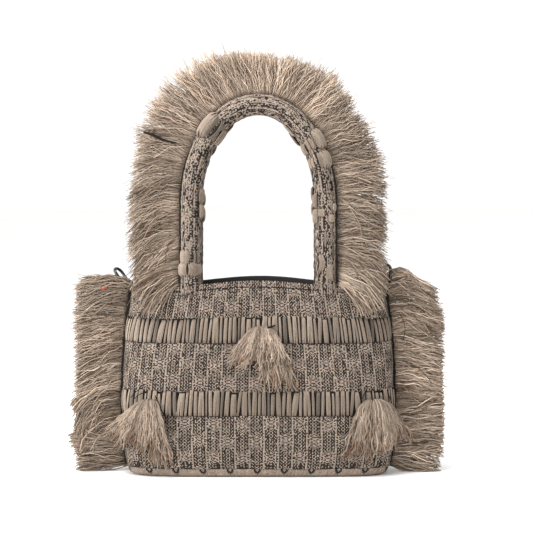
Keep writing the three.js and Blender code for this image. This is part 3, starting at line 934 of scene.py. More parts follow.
def stuffed_rise():
    """How far the cloth ends above the plain tube, for each point of the coarse tube."""
    piece, slim, ways = coarse_tube()
    moved = blow_up(piece).reshape(slim.shape) - slim
    bpy.data.objects.remove(piece)
    moved -= moved.mean(axis=1, keepdims=True)
    rise = np.sum(moved * ways, axis=-1)
    print("stuffing moves the cloth by", rise.min().round(2), "to", rise.max().round(2), "mm")
    return np.clip(rise, *STUFF_LIMITS) - STUFF_SLACK


def finer(values, runs, turn):
    """Spreads values on the coarse tube over a finer grid of the same tube."""
    coarse_runs = np.linspace(0.0, HANDLE_RUN, STUFF_ROWS)
    coarse_turn = np.linspace(0.0, 2 * np.pi, STUFF_COLUMNS + 1)
    along = np.stack([np.interp(runs, coarse_runs, line) for line in values.T], axis=1)
    along = np.concatenate([along, along[:, :1]], axis=1)
    return np.stack([np.interp(turn, coarse_turn, line) for line in along])


stuffed = stuffed_rise()
print("stuffed cloth stands", stuffed.min().round(2), "to", stuffed.max().round(2), "mm off the plain tube")

# %% [markdown]
# ## Handle cloth
# On the handles the cloth is cut on a different line, so most columns show short dark dashes and only some
# keep the pattern of the panels. Under each lump of loose threads the cloth is bare and dark. The table says
# where the lumps sit: along the tube, how long, at which turn, how wide and how far they swell.

# %% Handle cloth
TUBE_COLUMNS = int(round(2 * np.pi * TUBE / CELL_ACROSS))
TUBE_ROWS = int(round(HANDLE_RUN / CELL_UP))
DASH = 3
DASHES_OFTEN = 0.72
DASHES_SELDOM = 0.25
DASHED_COLUMNS = 0.7
TUBE_RELIEF = 0.18
TUBE_SINK = 0.5
BARE_TUBE = colour(52, 46, 41)
# share along the handle, and how light the cloth is painted there: painted light over the top of the arch, as
# if lit from above
TUBE_PAINTED_LIGHT = ((0.25, 0.4, 0.6, 0.75), (0.94, 1.06, 1.06, 0.92))
LUMPS = np.array([
    # run along the handle, half length, turn in degrees, width, swell
    (33.5, 6.4, 58.0, 9.5, 2.0),
    (22.5, 6.2, 46.0, 10.5, 2.1),
    (22.5, 6.0, 101.0, 9.5, 1.9),
    (23.0, 4.5, 143.0, 4.0, 1.0),
    (33.0, 5.0, 110.0, 2.0, 0.5),
    (33.0, 5.0, 130.0, 2.0, 0.5),
    (89.0, 7.5, 164.0, 9.0, 2.6),
    (75.0, 7.0, 164.0, 9.0, 2.4),
    (152.0, 11.5, 44.0, 12.0, 4.2),
    (152.0, 11.0, 84.0, 2.4, 0.6),
    (153.0, 11.0, 104.0, 2.6, 0.7),
    (152.0, 10.0, 124.0, 2.6, 0.7),
    (150.0, 10.0, 160.0, 8.5, 3.2),
    (240.0, 8.0, 172.0, 6.0, 1.6),
    (262.0, 8.5, 40.0, 12.0, 3.4),
    (280.0, 7.5, 62.0, 13.0, 2.8),
    (263.0, 5.0, 96.0, 3.0, 0.7),
    (263.0, 5.0, 118.0, 3.0, 0.7),
    (265.0, 7.0, 150.0, 7.0, 1.8),
    (280.0, 5.0, 128.0, 3.0, 0.7),
    (280.0, 5.0, 150.0, 4.0, 1.0),
    (316.0, 7.0, 164.0, 9.0, 2.4),
    (330.0, 7.0, 164.0, 9.0, 2.2),
    (322.0, 3.4, 40.0, 5.0, 0.9),
    (327.0, 3.6, 112.0, 6.0, 0.9),
    (332.0, 3.4, 62.0, 5.5, 0.9),
    (350.0, 7.0, 96.0, 2.0, 0.5),
    (372.0, 8.0, 122.0, 5.0, 1.0),
    (380.0, 7.0, 66.0, 6.0, 1.2),
    (60.0, 10.0, 250.0, 9.0, 2.0),
    (150.0, 10.0, 245.0, 8.0, 2.0),
    (262.0, 10.0, 265.0, 9.0, 2.0),
    (330.0, 10.0, 240.0, 8.0, 2.0),
])


def handle_tube(name, seed):
    """One woven handle, stuffed and slightly uneven, with the cloth bare under each lump of loose threads."""
    chance = np.random.default_rng(seed)
    marks = woven_marks(np.arange(TUBE_ROWS), np.arange(TUBE_COLUMNS), chance, wander=2.0, slip_share=0.08)
    often = np.where(np.arange(TUBE_COLUMNS) % 2, DASHES_SELDOM, DASHES_OFTEN)
    dashes = np.repeat(chance.random((TUBE_ROWS // DASH + 2, TUBE_COLUMNS)) < often, DASH, axis=0)
    starts = chance.integers(0, DASH, TUBE_COLUMNS)
    dashes = [dashes[start:start + TUBE_ROWS, column] for column, start in enumerate(starts)]
    dashes = np.stack(dashes, axis=1)
    marks = np.where(chance.random(TUBE_COLUMNS) < DASHED_COLUMNS, dashes, marks)
    # painted light: the cloth is made lighter over the top of the arch and darker on the legs, as if lit from
    # above
    arch_painted_light = np.interp(np.linspace(0.0, 1.0, TUBE_ROWS), *TUBE_PAINTED_LIGHT)
    tints = wool_tints(marks, chance) * arch_painted_light[:, None, None]
    runs = np.linspace(0.0, HANDLE_RUN, TUBE_ROWS + 1)
    turn = np.linspace(0.0, 2 * np.pi, TUBE_COLUMNS + 1)
    middle_run = ((runs[:-1] + runs[1:]) / 2)[:, None]
    middle_turn = ((turn[:-1] + turn[1:]) / 2)[None, :]
    relief = np.where(marks, -TUBE_RELIEF, TUBE_RELIEF)
    for run, half, degrees, width, _ in LUMPS:
        beside = np.abs((middle_turn - np.radians(degrees) + np.pi) % (2 * np.pi) - np.pi) * TUBE
        bare = (np.abs(middle_run - run) / half) ** 4 + (beside / (width / 2)) ** 4 < 1
        tints[bare] = BARE_TUBE * np.exp(chance.normal(0.0, 0.3, (bare.sum(), 1)))
        relief[bare] = -TUBE_SINK
    corners = cell_corners(relief)
    corners[:, -1] = corners[:, 0]
    grid_run, grid_turn = np.meshgrid(runs, turn, indexing="ij")
    points = tube_point(grid_run, grid_turn, corners + finer(stuffed, runs, turn))
    return cloth_grid(name, points, tints, weave_finish, weld=True)


def close_ends(piece):
    """Fills the two open ends of a tube."""
    cloth = bmesh.new()
    cloth.from_mesh(piece.data)
    rims = [edge for edge in cloth.edges if edge.is_boundary]
    bmesh.ops.holes_fill(cloth, edges=rims, sides=0)
    bmesh.ops.recalc_face_normals(cloth, faces=cloth.faces)
    cloth.to_mesh(piece.data)
    cloth.free()


handle_front = handle_tube("handle_front_tube", 51)
close_ends(handle_front)
handle_back = turned_back(handle_front, "handle_back_tube")
settle(handle_front, "handle_weave", "handle_front")
settle(handle_back, "handle_weave", "handle_back")
print("handle faces:", len(handle_front.data.polygons))

# %% [markdown]
# ## Loose threads on the handles
# The unwoven bands of the cloth come round again every few centimetres along each handle. There the threads
# lie along the tube in bundles: some wide, which swell into beige lumps, and some slim, with dark lines
# between.

# %% Loose threads on the handles
LUMP_YARN = 0.66
SLIM_LUMP = 3.0
END_MARGIN = 1.0


def handle_threads(name, seed):
    """A swelling bundle of yarns along the tube for each lump."""
    chance = np.random.default_rng(seed)
    along = np.linspace(-1.0, 1.0, 9)
    bow = np.clip(1 - along ** 2, 0.0, 1.0)
    paths, tints = [], []
    for run, half, degrees, width, swell in LUMPS:
        count = max(2, int(round(width / LUMP_YARN)))
        wool = (GREY_WOOL * 1.2 if width < SLIM_LUMP else PALE_WOOL) * chance.uniform(0.92, 1.1)
        bend = chance.normal(0.0, 0.8)
        for yarn in range(count):
            inside = (yarn + 0.5) / count - 0.5
            where = np.radians(degrees) * TUBE + inside * width * (0.8 + 0.2 * bow ** 0.5) + bend * bow
            rise = 0.1 + swell * bow ** 0.4 * np.sqrt(1 - 3.4 * inside ** 2)
            reach = half * chance.uniform(0.86, 1.12) * (1 - 0.5 * inside ** 2)
            place = np.clip(run + reach * along, END_MARGIN, HANDLE_RUN - END_MARGIN)
            paths.append(tube_point(place, where / TUBE, rise))
            tints.append(np.tile(wool * chance.uniform(0.76, 1.06), (len(along), 1)))
    return yarn_bundle(name, np.array(paths), THREAD_RADIUS, np.array(tints))


front_lumps = settle(handle_threads("handle_front_threads", 61), "yarn")
settle(turned_back(front_lumps, "handle_back_threads"), "yarn")
print("handle threads:", len(front_lumps.data.polygons), "faces a handle")

# %% [markdown]
# ## Fringe helpers
# A fringe is a row of yarns that keep together in locks, and a few locks in a tuft, so each of these gets its
# own sway, and each yarn a little of its own. Only the outer yarns lean with their tuft, while the inner ones
# stay combed and close the gaps. A hair system could do this too, but plain arrays come out the same each
# time.

# %% Locks and tufts of a fringe
TUFT_WIDTH = 9.0
TUFT_PULL = 0.5
LOCK_DEPTH = 0.9
DRIFT_LEAN = 3.0
LOCK_LEAN = 2.6
CLUMP_SHADE = 0.1


def gather(places, pitch, chance):
    """Gathers neighbouring yarns into clumps: the clump of each yarn, and how many clumps there are."""
    steps = chance.uniform(0.5, 1.5, int(2 * np.ptp(places) / pitch) + 3) * pitch
    edges = places.min() + np.cumsum(steps)
    return np.searchsorted(edges, places), len(edges) + 1


def by_clump(clump, spread, chance, middle=0.0):
    """A random value for each clump, handed to all its yarns."""
    number, count = clump
    return chance.normal(middle, spread, count)[number]


def drawn_together(places, clump):
    """How far each yarn lies from the middle of its clump, toward which its end is drawn."""
    number, count = clump
    size = np.maximum(np.bincount(number, minlength=count), 1)
    return (np.bincount(number, places, count) / size)[number] - places


def clumped(places, lock_width, depth_spread, loose_depths, chance):
    """Locks and tufts of a fringe, the depth of each yarn in it, and how freely the yarn follows its tuft."""
    lock = gather(places, lock_width, chance)
    tuft = gather(places, TUFT_WIDTH, chance)
    depth = by_clump(lock, LOCK_DEPTH, chance) + chance.normal(0.0, depth_spread, len(places))
    return lock, tuft, depth, smooth_step(np.abs(depth), *loose_depths)


def drift(places, wave, size, chance):
    """A slow change along a fringe, so that neighbouring yarns lean the same way."""
    total = np.zeros_like(places)
    for part in (1.0, 0.6, 0.35):
        total += part * np.sin(2 * np.pi * places / (wave * part) + chance.uniform(0.0, 2 * np.pi))
    return size * total


def crossing(yarns, share_of_yarns, spread, chance):
    """Extra lean, in degrees, of the few yarns that lie across the others."""
    return np.where(chance.random(yarns) < share_of_yarns, chance.uniform(-spread, spread, yarns), 0.0)


def leaning(places, lock, tuft, free, wave, tuft_lean, yarn_lean, across, chance):
    """Lean of each yarn in degrees: a slow drift, its lock's, its tuft's, its own, and a few that cross."""
    lean = drift(places, wave, DRIFT_LEAN, chance) + by_clump(lock, LOCK_LEAN, chance)
    lean = lean + by_clump(tuft, tuft_lean, chance) * free
    return lean + chance.normal(0.0, yarn_lean, len(places)) + crossing(len(places), *across, chance)


def tuft_ends(places, tuft, loose, share):
    """How far each point of a yarn is drawn toward the middle of its tuft."""
    return (TUFT_PULL * loose * drawn_together(places, tuft))[:, None] * share ** 1.5


def spread_out(depth, limit, pace, share):
    """Yarns leave the seam in one line and spread to their own depth."""
    return np.clip(depth, -limit, limit)[:, None] * np.sin(np.pi / 2 * np.minimum(share * pace, 1.0))


def clump_shade(lock, tuft, loose, chance):
    """A darker or lighter shade for each lock and each tuft."""
    shade = by_clump(lock, CLUMP_SHADE, chance) + by_clump(tuft, CLUMP_SHADE, chance) * loose
    return np.exp(shade)[:, None, None]


print("lock and tuft helpers ready")

# %% [markdown]
# ## How a yarn bends
# Each yarn leaves the cloth at one angle and droops to another, with a small wave of its own. The ends are
# cut by hand, so they are uneven.

# %% How a yarn bends
YARN_POINTS = 7
LOCK_CUT_SPREAD = 0.02
MEAN_CUT = 0.98
CUT_SPREAD = 0.035
LONGEST_CUT = 1.07
SHORT_YARNS = 0.2
SHORT_CUT = (0.55, 0.95)


def wavy(yarns, share, size, chance):
    """A small wave along each yarn that starts at nothing at the root."""
    pace = chance.uniform(0.8, 2.2, (yarns, 1))
    start = chance.uniform(0.0, 2 * np.pi, (yarns, 1))
    return size * np.sin(2 * np.pi * pace * share + start) * smooth_step(share, 0.0, 0.5)


def drooping(reach, start_angle, end_angle, hurry=1.0):
    """Yarns that leave level or rising and bend down: how far out and how far down each point is."""
    share = np.linspace(0.0, 1.0, YARN_POINTS)[None, :]
    middle = 1 - (1 - (share[:, 1:] + share[:, :-1]) / 2) ** np.broadcast_to(hurry, reach.shape)[:, None]
    angle = np.radians(start_angle[:, None] + (end_angle - start_angle)[:, None] * middle)
    step = reach[:, None] / (YARN_POINTS - 1)
    nothing = np.zeros((len(reach), 1))
    out = np.concatenate([nothing, np.cumsum(step * np.cos(angle), axis=1)], axis=1)
    down = np.concatenate([nothing, np.cumsum(step * np.sin(angle), axis=1)], axis=1)
    return out, down, share


def cut_lengths(lock, chance):
    """Uneven cut ends: each lock differs a little, each yarn too, and some yarns are short."""
    yarns = len(lock[0])
    cut = by_clump(lock, LOCK_CUT_SPREAD, chance, middle=1.0) * chance.normal(MEAN_CUT, CUT_SPREAD, yarns)
    short = chance.random(yarns) < SHORT_YARNS
    return np.where(short, cut * chance.uniform(*SHORT_CUT, yarns), np.minimum(cut, LONGEST_CUT))


def tapered(thick, share, taper=0.3):
    """The radius of each yarn at each point, a little thinner toward the tip."""
    return thick[:, None] * (1 - taper * share ** 4)


print("a fringe yarn has", YARN_POINTS, "points")

# %% [markdown]
# ## Handle fringe
# A thick yarn fringe is sewn along the outer side of each handle. It stands up round the arch, sinks a
# little along the legs and sweeps down at the feet. The table combs it from the left foot to the right one,
# with lengths and angles measured on the photograph.

# %% Comb of the handle fringe
FRINGE_START = 9.0
HANDLE_YARNS = 3250
ARCH_YARNS = 400
ARCH_LEAN = -7.0
ARCH_PART = (0.3, 0.7)
HANDLE_SEWN_IN = 0.8
HANDLE_THICK = (0.34, 0.5)
WISPS = 0.015
WISP_REACH = (1.08, 1.2)
WISP_THICK = 0.2
FOOT_FOLD = 9.0
FOOT_FOLD_HEIGHT = 45.0
# share along the handle, and how freely a tuft leans there
FREE_LEAN = ((0.0, 0.12, 0.88, 1.0), (0.15, 1.0, 1.0, 0.15))
# the same share, how light the yarns are painted there, and how even in colour: painted light over the arch,
# as if lit from above, and painted shade toward the end of the comb
FRINGE_PAINTED_LIGHT = ((0.0, 0.3, 0.4, 0.6, 0.7, 1.0), (1.0, 1.0, 1.29, 1.29, 0.94, 0.9))
FRINGE_EVEN = ((0.3, 0.4, 0.6, 0.7), (0.0, 0.4, 0.4, 0.0))
HANDLE_COMB = np.array([
    # share along the handle, yarn length, angle down at the root, angle down at the tip
    (0.0, 40.0, 24.0, 66.0),
    (0.025, 50.0, 8.0, 64.0),
    (0.06, 54.0, 0.0, 62.0),
    (0.11, 53.0, -6.0, 60.0),
    (0.16, 51.0, -10.0, 52.0),
    (0.22, 50.0, -10.0, 42.0),
    (0.28, 50.0, -8.0, 28.0),
    (0.36, 50.5, -4.0, 10.0),
    (0.40, 48.5, 0.0, 3.0),
    (0.44, 43.0, 0.0, 0.0),
    (0.48, 38.0, 0.0, 0.0),
    (0.52, 37.0, 0.0, 0.0),
    (0.56, 40.0, 0.0, 0.0),
    (0.60, 43.0, 0.0, 2.0),
    (0.64, 40.5, 0.0, 6.0),
    (0.68, 40.5, -4.0, 12.0),
    (0.74, 49.0, -8.0, 18.0),
    (0.80, 45.0, -10.0, 26.0),
    (0.88, 46.5, -8.0, 38.0),
    (0.94, 53.0, -2.0, 54.0),
    (0.975, 52.0, 6.0, 60.0),
    (1.0, 40.0, 24.0, 66.0),
])
print("handle comb:", len(HANDLE_COMB), "places from foot to foot")

# %% [markdown]
# ## Combing the handle fringe
# The yarns are spread along the handle, with a few more over the arch, gathered into locks and tufts and
# combed by the table. On the legs a lean turns a yarn up or down, and over the arch it turns it to the side.
# At the feet the fringe folds forward, over the rim of the pouch.

# %% Handle fringe
def handle_fringe(name, seed, way):
    """The fringe of one handle as one bundle of yarns, combed from foot to foot or the other way."""
    chance = np.random.default_rng(seed)
    all_along = chance.uniform(FRINGE_START, HANDLE_RUN - FRINGE_START, HANDLE_YARNS - ARCH_YARNS)
    run = np.sort(np.concatenate([all_along, HANDLE_RUN * chance.uniform(*ARCH_PART, ARCH_YARNS)]))
    along = (run - FRINGE_START) / (HANDLE_RUN - 2 * FRINGE_START)
    lock, tuft, depth, loose = clumped(run, lock_width=3.5, depth_spread=1.9, loose_depths=(0.3, 1.8),
                                       chance=chance)
    place, forward, outward = on_handle(run)
    half_width, _ = tube_halves(run)
    combed = along if way > 0 else 1 - along
    shares, *columns = HANDLE_COMB.T
    length, root_angle, tip_angle = (np.interp(combed, shares, values) for values in columns)
    free = loose * np.interp(along, *FREE_LEAN)
    lean = leaning(run, lock, tuft, free, wave=90.0, tuft_lean=9.5, yarn_lean=3.4, across=(0.08, 22.0),
                   chance=chance)
    on_leg = np.abs(outward[:, 0])
    wisp = chance.random(HANDLE_YARNS) < WISPS
    reach = length * np.where(wisp, chance.uniform(*WISP_REACH, HANDLE_YARNS), cut_lengths(lock, chance))
    out, down, share = drooping(reach, root_angle + lean * on_leg, tip_angle + 1.6 * lean * on_leg)
    over_arch = np.radians((lean + way * ARCH_LEAN) * (1 - on_leg))
    sideways = np.tan(over_arch)[:, None] * out + wavy(HANDLE_YARNS, share, 1.6, chance)
    sideways = sideways + tuft_ends(run, tuft, loose, share)
    start = place + outward * (half_width - HANDLE_SEWN_IN)[:, None]
    flat = start[:, None, :] + outward[:, None, :] * out[..., None]
    flat = flat + forward[:, None, :] * sideways[..., None]
    flat[..., 1] -= down
    fold_forward = FOOT_FOLD * np.maximum(0.0, 1 - place[:, 1] / FOOT_FOLD_HEIGHT)[:, None] * share ** 0.6
    near = spread_out(depth, limit=4.0, pace=1.5, share=share) + fold_forward
    near = near + wavy(HANDLE_YARNS, share, 0.7, chance)
    paths = stand_handle(flat[..., 0], flat[..., 1], near)
    tints = yarn_tints(HANDLE_YARNS, YARN_POINTS, chance)
    # painted light: yarns are lighter over the arch, as if lit from above, and painted shade darkens them
    # toward the end of the comb
    tone, even = (np.interp(combed, *table)[:, None, None] for table in (FRINGE_PAINTED_LIGHT, FRINGE_EVEN))
    tints = (tints + (tints.mean(axis=0) - tints) * even) * tone * clump_shade(lock, tuft, loose, chance)
    thick = np.where(wisp, WISP_THICK, chance.uniform(*HANDLE_THICK, HANDLE_YARNS))
    return yarn_bundle(name, paths, tapered(thick, share), tints)


fringe_front = settle(handle_fringe("handle_fringe_front_yarns", 74, 1), "yarn", "handle_fringe_front")
fringe_back = turn_half_round(handle_fringe("handle_fringe_back_yarns", 72, -1))
settle(fringe_back, "yarn", "handle_fringe_back")
print("handle fringe:", len(fringe_front.data.polygons), "faces each")

# %% [markdown]
# ## Side fringes
# A second fringe is caught in each side seam, from the base up to the rim, and stands straight out to the
# side. Its yarns wave and cross in broad locks. Near the top they arch up and fall outward, more on the right
# side of the bag than on the left, where some of them cover the foot of the strap loop.

# %% Combs of the side fringes
SIDE_YARNS = 2400
SIDE_LOW = 5.0
SIDE_HIGH = 173.0
STEADY_TOP = (155.0, 170.0)
COVER_TOP = (156.0, 170.0)
FLOOR_GAP = 0.9
SIDE_SEWN_IN = 0.5
SIDE_THICK = (0.38, 0.56)
LEFT_COMB = np.array([
    # height of the root, yarn length, angle down at the root and at the tip, forward bend, how soon it droops
    (5.0, 47.0, 4.0, 6.0, 6.0, 1.7),
    (20.0, 47.0, -4.0, 6.0, 5.0, 1.7),
    (34.0, 48.0, -8.0, 4.0, 7.0, 1.7),
    (41.0, 52.0, 6.0, 40.0, 4.0, 1.0),
    (52.0, 53.0, -6.0, 95.0, 7.0, 0.6),
    (66.0, 54.0, -10.0, 96.0, 10.0, 0.6),
    (78.0, 51.0, -6.0, 62.0, 8.0, 0.9),
    (92.0, 48.0, -4.0, 32.0, 4.0, 1.4),
    (110.0, 47.0, -2.0, 20.0, 4.0, 1.7),
    (125.0, 48.0, -2.0, 14.0, 2.0, 1.7),
    (140.0, 49.0, -6.0, 9.0, 5.0, 1.7),
    (152.0, 50.0, -16.0, 7.0, 8.0, 2.0),
    (162.0, 52.0, -34.0, 9.0, 9.0, 2.6),
    (173.0, 50.0, -50.0, 12.0, 9.0, 3.0),
])
RIGHT_COMB = np.array([
    # the same six columns
    (5.0, 47.0, 4.0, 8.0, 6.0, 1.7),
    (16.0, 47.0, 0.0, 12.0, 4.0, 1.7),
    (26.0, 46.0, -6.0, 2.0, 2.0, 1.7),
    (38.0, 46.0, -14.0, -10.0, 5.0, 1.7),
    (50.0, 46.0, -8.0, -4.0, 7.0, 1.7),
    (62.0, 46.0, -4.0, 12.0, 4.0, 1.7),
    (74.0, 47.0, -10.0, 24.0, 7.0, 1.7),
    (85.0, 48.0, -22.0, 34.0, 8.0, 1.7),
    (95.0, 47.0, -6.0, 14.0, 3.0, 1.7),
    (110.0, 48.0, -6.0, 14.0, 4.0, 1.7),
    (125.0, 49.0, -6.0, 12.0, 3.0, 1.7),
    (140.0, 51.0, -16.0, 20.0, 6.0, 1.7),
    (150.0, 53.0, -32.0, 24.0, 8.0, 1.8),
    (160.0, 51.0, -54.0, 32.0, 9.0, 1.8),
    (167.0, 49.0, -82.0, 44.0, 9.0, 1.8),
    (173.0, 47.0, -102.0, 64.0, 9.0, 1.8),
])
print("side combs:", len(LEFT_COMB), "places on the left,", len(RIGHT_COMB), "on the right")

# %% [markdown]
# ## Combing the side fringes
# The yarns start in line on the seam, spread forward and back as they leave it, and bend as the tables say.
# Near the top they lean less freely, so that the arch of yarns stays closed, and none goes below the floor.

# %% Side fringes
def side_fringe(name, side, comb, cover, tone, seed):
    """The fringe of one side seam, whose top yarns may cover the foot of the strap loop."""
    chance = np.random.default_rng(seed)
    root = np.sort(chance.uniform(SIDE_LOW, SIDE_HIGH, SIDE_YARNS))
    lock, tuft, depth, loose = clumped(root, lock_width=4.0, depth_spread=2.0, loose_depths=(0.8, 2.2),
                                       chance=chance)
    length, root_angle, tip_angle, bend, pace = (np.interp(root, comb[:, 0], values) for values in comb.T[1:])
    lean = leaning(root, lock, tuft, loose, wave=45.0, tuft_lean=7.0, yarn_lean=3.6, across=(0.1, 18.0),
                   chance=chance)
    lean = lean * (1 - 0.7 * smooth_step(root, *STEADY_TOP))
    reach = length * cut_lengths(lock, chance)
    out, down, share = drooping(reach, root_angle + lean, tip_angle + 1.5 * lean, pace)
    x = flowing(root, HEIGHTS, HALF_WIDTHS)[:, None] - SIDE_SEWN_IN + out
    y = spread_out(depth, limit=4.2, pace=1.7, share=share) + wavy(SIDE_YARNS, share, 0.6, chance)
    y = y - bend[:, None] * np.sin(np.pi / 2 * share) * 0.7
    y = y - (chance.uniform(0.0, cover, SIDE_YARNS) * smooth_step(root, *COVER_TOP))[:, None] * (1 - share)
    rise = tuft_ends(root, tuft, loose, share) + wavy(SIDE_YARNS, share, 1.5, chance)
    z = np.maximum(root[:, None] - down + rise, FLOOR_GAP)
    tints = yarn_tints(SIDE_YARNS, YARN_POINTS, chance) * tone * clump_shade(lock, tuft, loose, chance)
    thick = tapered(chance.uniform(*SIDE_THICK, SIDE_YARNS), share)
    return yarn_bundle(name, np.stack([side * x, y, z], axis=-1), thick, tints)


side_left = side_fringe("side_fringe_left_yarns", -1, LEFT_COMB, cover=6.0, tone=0.97, seed=81)
side_right = side_fringe("side_fringe_right_yarns", 1, RIGHT_COMB, cover=0.0, tone=1.05, seed=82)
settle(side_left, "yarn", "side_fringe_left")
settle(side_right, "yarn", "side_fringe_right")
print("side fringe:", len(side_left.data.polygons), "faces each")

# %% [markdown]
# ## Dark edging
# A black thread covers the row of knots where each fringe is sewn on. It lies double down both side seams
# and single along the outer side of both handles, and it is thinner over the arch than along the legs.

# %% Dark edging
EDGING_WOOL = colour(30, 27, 25)
SEAM_TOP = 166.0
SEAM_Y = -4.4
EDGING_TURN = np.radians(26.0)
EDGING_MARGIN = 10.0
EDGING_RADIUS = 0.75
ARCH_EDGING_RADIUS = 0.15


def edging(name, path, radius, repeats, apart, wander):
    """A few black threads side by side along one path, each with its own slow wander."""
    shifts = (np.arange(repeats) - (repeats - 1) / 2) * apart
    aside = np.cross(unit(np.gradient(path, axis=0)), np.array([0.0, 1.0, 0.0]))
    step = np.arange(len(path))[:, None]
    paths = []
    for number, shift in enumerate(shifts):
        wave = wander * (np.sin(step * 1.7 + number) + np.sin(step * 0.63 + 2.1 * number))
        paths.append(path + aside * (shift + wave))
    tints = np.tile(EDGING_WOOL, (repeats, len(path), 1))
    return yarn_bundle(name, np.array(paths), radius, tints, sides=5)


seam_heights = np.linspace(BASE_LIP + 1.0, SEAM_TOP, 70)
for side, name in ((-1, "left_seam_edging"), (1, "right_seam_edging")):
    seam_x = side * (flowing(seam_heights, HEIGHTS, HALF_WIDTHS) + 1.0)
    seam_line = np.stack([seam_x, np.full(len(seam_heights), SEAM_Y), seam_heights], axis=-1)
    settle(edging(name, seam_line, EDGING_RADIUS, repeats=2, apart=1.2, wander=0.25), "yarn")
edging_run = np.linspace(EDGING_MARGIN, HANDLE_RUN - EDGING_MARGIN, 160)
edging_line = tube_point(edging_run, EDGING_TURN, rise=0.9)
on_leg = smooth_step(np.abs(edging_run - HANDLE_RUN / 2), 60.0, 100.0)
edging_radius = ARCH_EDGING_RADIUS + (EDGING_RADIUS - ARCH_EDGING_RADIUS) * on_leg
handle_edging = edging("handle_front_edging", edging_line, edging_radius, repeats=1, apart=0.0, wander=0.2)
settle(handle_edging, "yarn")
settle(turned_back(handle_edging, "handle_back_edging"), "yarn")
print("edging laid on both seams and both handles")

# %% [markdown]
# ## Tassels
# Three tassels hang on the front, their heads caught among the loose threads of the bands. Each fans out with
# a shorter frizzy layer over a longer bunch on one side, and some of the tips are reddish brown. The two
# lower ones also lie over the side fringes.

# %% Tassels
TASSELS = {
    # middle, top, half width of the head, length, reach left and right, how soon it spreads (less is sooner),
    # side of the long bunch, cut of the top layer, tone
    "upper": (3.6, 136.0, 10.5, 52.0, -32.0, 30.0, 0.85, 1, (0.52, 0.66), 0.88),
    "left": (-98.0, 70.5, 8.0, 55.0, -42.0, 20.0, 0.85, 1, (0.58, 0.8), 0.78),
    "right": (103.0, 70.5, 9.0, 51.0, -26.0, 33.0, 0.55, -1, (0.7, 0.92), 0.86),
}
TASSEL_YARNS = 380
TASSEL_POINTS = 10
TASSEL_LOCK = 0.12
TASSEL_THICK = (0.56, 0.78)
TOP_LAYER = 0.45
FULL_CUT = (0.86, 1.0)
RUSTY = 0.26
RUST = colour(118, 84, 64)
OVER_FRINGE = -13.0


def front_face(x, z):
    """The y of the pouch front at a place."""
    half_width, half_depth, square = section(z)
    return front_y(np.clip(np.abs(x) / half_width, 0.0, 1.0), half_depth, square, SEAM_HALF)


def tassel_paths(spec, share, chance):
    """Yarns of a tassel: their paths, their locks, and which of them are in the short layer on top."""
    centre, top, head, length, reach_left, reach_right, spread, long_side, top_cut, _ = spec
    across = np.sort(chance.uniform(-1.0, 1.0, TASSEL_YARNS))
    lock = gather(across, TASSEL_LOCK, chance)
    short_side = across * long_side < -0.05
    over = short_side | (chance.random(TASSEL_YARNS) < TOP_LAYER)
    cut = np.where(over, chance.uniform(*top_cut, TASSEL_YARNS), chance.uniform(*FULL_CUT, TASSEL_YARNS))
    cut = cut * by_clump(lock, 0.07, chance, middle=1.0)
    reach = np.where(across < 0, -reach_left, reach_right) * across - across * head
    reach = reach * np.where(short_side, chance.uniform(*FULL_CUT, TASSEL_YARNS), cut)
    sway = by_clump(lock, 1.0, chance) + chance.normal(0.0, 1.8, TASSEL_YARNS)
    crimp = wavy(TASSEL_YARNS, share, 0.8, chance) + 0.5 * wavy(TASSEL_YARNS, 3 * share, 1.0, chance)
    frizz = smooth_step(share, 0.5, 1.0) * chance.uniform(0.5, 2.2, (TASSEL_YARNS, 1))
    turns = 11.0 * share + chance.uniform(0.0, 6.0, (TASSEL_YARNS, 1))
    x = centre + across[:, None] * head * (0.85 + 0.15 * smooth_step(share, 0.0, 0.15))
    x = x + reach[:, None] * share ** spread + sway[:, None] * share ** 1.5
    x = x + crimp + 1.3 * frizz * np.sin(turns)
    dip = 1.6 * np.exp(-((across - 0.1 * long_side) / 0.16) ** 2)
    shoulder = 1.2 * across ** 2 + dip + chance.uniform(-0.5, 0.8, TASSEL_YARNS)
    lengths = length * cut * np.where(short_side, 1.0 - 0.12 * np.abs(across) ** 3, 1.0)
    z = top - shoulder[:, None] - lengths[:, None] * share + 0.9 * frizz * np.cos(turns)
    nearby = np.min([front_face(x + shift, z) for shift in (-4.0, 0.0, 4.0)], axis=0)
    nearby = np.minimum(nearby, OVER_FRINGE)
    depth = np.where(over, chance.uniform(0.6, 1.0, TASSEL_YARNS), chance.uniform(0.0, 0.6, TASSEL_YARNS))
    depth = depth[:, None]
    lift = 1.8 + 2.8 * depth + 2.4 * np.sin(np.pi * np.minimum(share * 1.1, 1.0)) * depth
    y = nearby - lift * np.minimum(1.0, 0.35 + share * 3.0) + wavy(TASSEL_YARNS, share, 0.9, chance)
    return np.stack([x, y, z], axis=-1), lock, over


def tassel_tints(spec, share, lock, over, chance):
    """Colours of a tassel: painted shade in the head and under the top layer, and rusty at some tips."""
    *_, top_cut, tone = spec
    tints = yarn_tints(TASSEL_YARNS, TASSEL_POINTS, chance) * tone
    tints = tints + (tints.mean(axis=0) - tints) * 0.35
    tints = tints * np.exp(by_clump(lock, 0.14, chance))[:, None, None]
    shows_at = np.mean(top_cut)
    # painted shade: the under layer is darkened until it shows below the top layer
    painted_shade_under_top = np.where(over, 0.0, 0.66)[:, None] * (1 - smooth_step(share, shows_at, shows_at + 0.2))
    # painted shade: every yarn is darkened in the head, fading out a third of the way down
    painted_shade_in_head = 0.28 * (1 - smooth_step(share, 0.0, 0.35))
    tints = tints * (1 - np.maximum(painted_shade_under_top, painted_shade_in_head))[..., None]
    rusty = (chance.random(TASSEL_YARNS) < RUSTY)[:, None] * smooth_step(share, 0.6, 1.0)
    return tints + (RUST - tints) * 0.8 * rusty[..., None]


